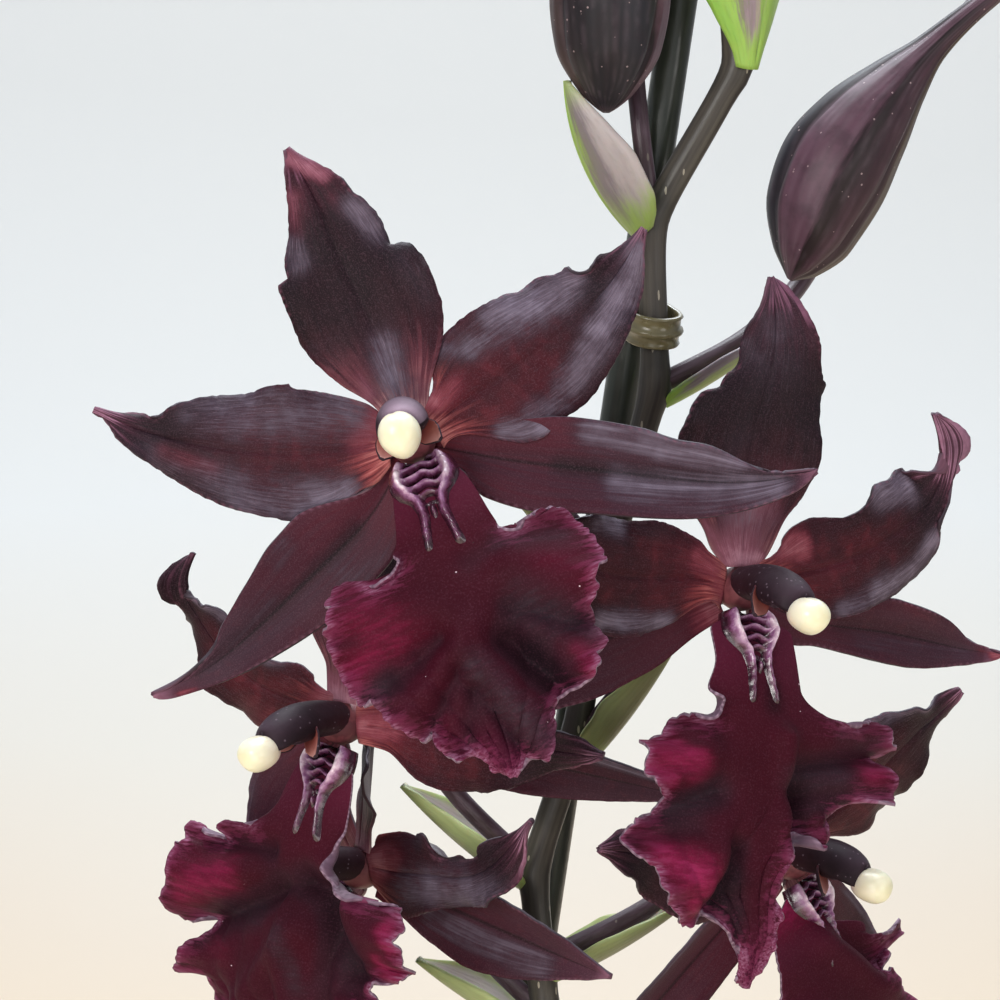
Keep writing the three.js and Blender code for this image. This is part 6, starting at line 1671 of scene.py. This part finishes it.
BED_TOP = BARK_TOP - 3
bed = [(wall_radius(z), z) for z in (POT["floor"] + FIT, 40, 80, BED_TOP - 0.5, BED_TOP)]
bed += [(wall_radius(BARK_TOP) * s, BED_TOP + 0.8 * math.sin(9 * s)) for s in (0.7, 0.35, 0.05)]
parts = [loft(turned_rings(bed, 64))]
draw = np.random.default_rng(41)
shapes = [rough_chip(s) for s in range(7)]
LAYER = 165
GOLDEN_ANGLE = 2.39996
for k in range(2 * LAYER):
    points, faces = shapes[k % len(shapes)]
    upper = k >= LAYER
    long = draw.uniform(4.2, 8.6)
    size = np.array([long, long * draw.uniform(0.45, 0.75), long * draw.uniform(0.18, 0.34)])
    far = (wall_radius(BARK_TOP) - long * 0.86) * math.sqrt((k % LAYER + 0.5) / LAYER)
    heading = k % LAYER * GOLDEN_ANGLE + 0.9 * upper
    tilt, roll, turn = draw.uniform(-0.45, 0.45), draw.uniform(-0.4, 0.4), draw.uniform(0, 2 * math.pi)
    spin = Matrix.Rotation(turn, 3, "Z") @ Matrix.Rotation(tilt, 3, "X") @ Matrix.Rotation(roll, 3, "Y")
    level = BARK_TOP - 2.6 + 2.6 * upper + draw.uniform(-0.6, 1.2)
    places = points[np.ravel(faces), :2] * 0.25 + [k * 0.37, k * 0.11]
    middle = [far * math.cos(heading), far * math.sin(heading), level]
    parts.append(((points * size) @ np.array(spin).T + middle, faces, places.tolist()))
round_piece("bark_heap", joined(parts), bark_skin(), "bark")

# %% [markdown]
# ## Pot
# The pot is outside the photograph, so it is a plain round one with a rolled rim and four drain holes.
# Its profile is turned round the axis with many sides, and the holes are cut through its floor.

# %% Pot finish
def pot_skin():
    skin = Skin("pot_plain", 0.55, 0.4)
    fine = skin.noise(900, 3)
    skin.colour = "#4b4f52"
    skin.wash(skin.blots(30, 0.4, 0.64), "#565a5c")
    skin.wash(skin.blots(140, 0.6, 0.72) * 0.35, "#7c7c76")
    return skin.done(fine, 0.18, 0.00015, fine.spread(0.3, 0.7, 0.48, 0.66))


# %% Turn the profile and cut the drain holes
under, wall, base, belly, rim = (POT["height"] - POT["rim_height"], POT["wall"], POT["base"], POT["belly"],
                                 POT["rim"])
profile = [(0.01, 0), (base - 1.2, 0), (base - 0.3, 0.4), (base, 1.2)]
profile += [(base + (belly - base) * z / under, z) for z in (6, 30, 60, 90, under - 0.6)]
profile += [(belly + 0.3, under), (rim - 0.7, under + 0.6), (rim, under + 1.4), (rim, 104), (rim, 109),
            (rim - 0.35, 109.7), (rim - 1.1, 110), (rim - 1.85, 109.7), (rim - wall, 109),
            (rim - wall - 0.1, 104), (belly - wall + 0.5, under - 1), (belly - wall, under - 2.4)]
profile += [(base - wall + (belly - base) * (z - 2.5) / (under - 4.5), z) for z in (80, 50, 20, 4.5)]
profile += [(base - wall - 0.8, POT["floor"] + 0.3), (base - wall - 2, POT["floor"]), (0.01, POT["floor"])]
pot = round_piece("pot_turned", loft(turned_rings(profile, 128)), pot_skin(), "pot")
for k in range(POT["holes"]):
    a = 2 * math.pi * (k + 0.5) / POT["holes"]
    bpy.ops.mesh.primitive_cylinder_add(vertices=32, radius=POT["hole"] * MM, depth=0.02, location=(
        POT["hole_circle"] * math.cos(a) * MM, POT["hole_circle"] * math.sin(a) * MM, 0))
    cutter = bpy.context.object
    cut = pot.modifiers.new("drain", "BOOLEAN")
    cut.operation = "DIFFERENCE"
    cut.object = cutter
    holed = bpy.data.meshes.new_from_object(pot.evaluated_get(bpy.context.evaluated_depsgraph_get()))
    pot.modifiers.clear()
    pot.data = holed
    bpy.data.objects.remove(cutter)
print("pot:", len(pot.data.polygons), "faces")

# %% [markdown]
# ## Floor and backdrop
# One pale sweep serves as floor and wall. It is stage, not part of the plant. It curves up well behind
# the pot, so no corner shows between the flowers, and it grows a little warmer towards the floor. From
# behind it can be seen through, so a view from the back isn't blocked.

# %% A pale sweep
def sweep():
    material = bpy.data.materials.new("studio_sweep")
    material.use_nodes = True
    tree = material.node_tree
    shader = tree.nodes["Principled BSDF"]
    shader.inputs["Roughness"].default_value = 0.9
    shader.inputs["Specular IOR Level"].default_value = 0.1
    here = put(tree, "ShaderNodeTexCoord").outputs["Object"]
    height = Mask(put(tree, "ShaderNodeSeparateXYZ", {"Vector": here}).outputs[2])
    warm_low = (noise(tree, here, 1.5, 1) * 0.2 + (height * 1.2 - 0.1)).ramp({
        0: "#ebd8c0", 0.07: "#e9dccc", 0.16: "#e8e4dc", 0.34: "#ebeeef", 1: "#e9eef2"})
    tree.links.new(warm_low, shader.inputs["Base Color"])
    both = put(tree, "ShaderNodeMixShader", {
        "Fac": put(tree, "ShaderNodeNewGeometry").outputs["Backfacing"], 1: shader.outputs[0],
        2: put(tree, "ShaderNodeBsdfTransparent").outputs[0]})
    tree.links.new(both.outputs[0], tree.nodes["Material Output"].inputs["Surface"])
    profile = [(-2.2, 0), (0.9, 0)] + [(0.9 + 0.7 * math.sin(a), 0.7 - 0.7 * math.cos(a))
                                       for a in np.linspace(0, math.pi / 2, 24)[1:]] + [(1.6, 3)]
    points = [(x, y, z - 0.0005) for y, z in profile for x in (-3.2, 3.2)]
    faces = [(2 * k, 2 * k + 1, 2 * k + 3, 2 * k + 2) for k in range(len(profile) - 1)]
    mesh = bpy.data.meshes.new("sweep")
    mesh.from_pydata(points, [], faces)
    mesh.polygons.foreach_set("use_smooth", np.ones(len(faces), bool))
    mesh.materials.append(material)
    made = bpy.data.objects.new("sweep", mesh)
    scene.collection.objects.link(made)


sweep()
panel("backdrop_wash", (0, 0.3, 2.2), (0, 1.6, 0.9), 1.2, 18.5, (0.93, 0.97, 1))
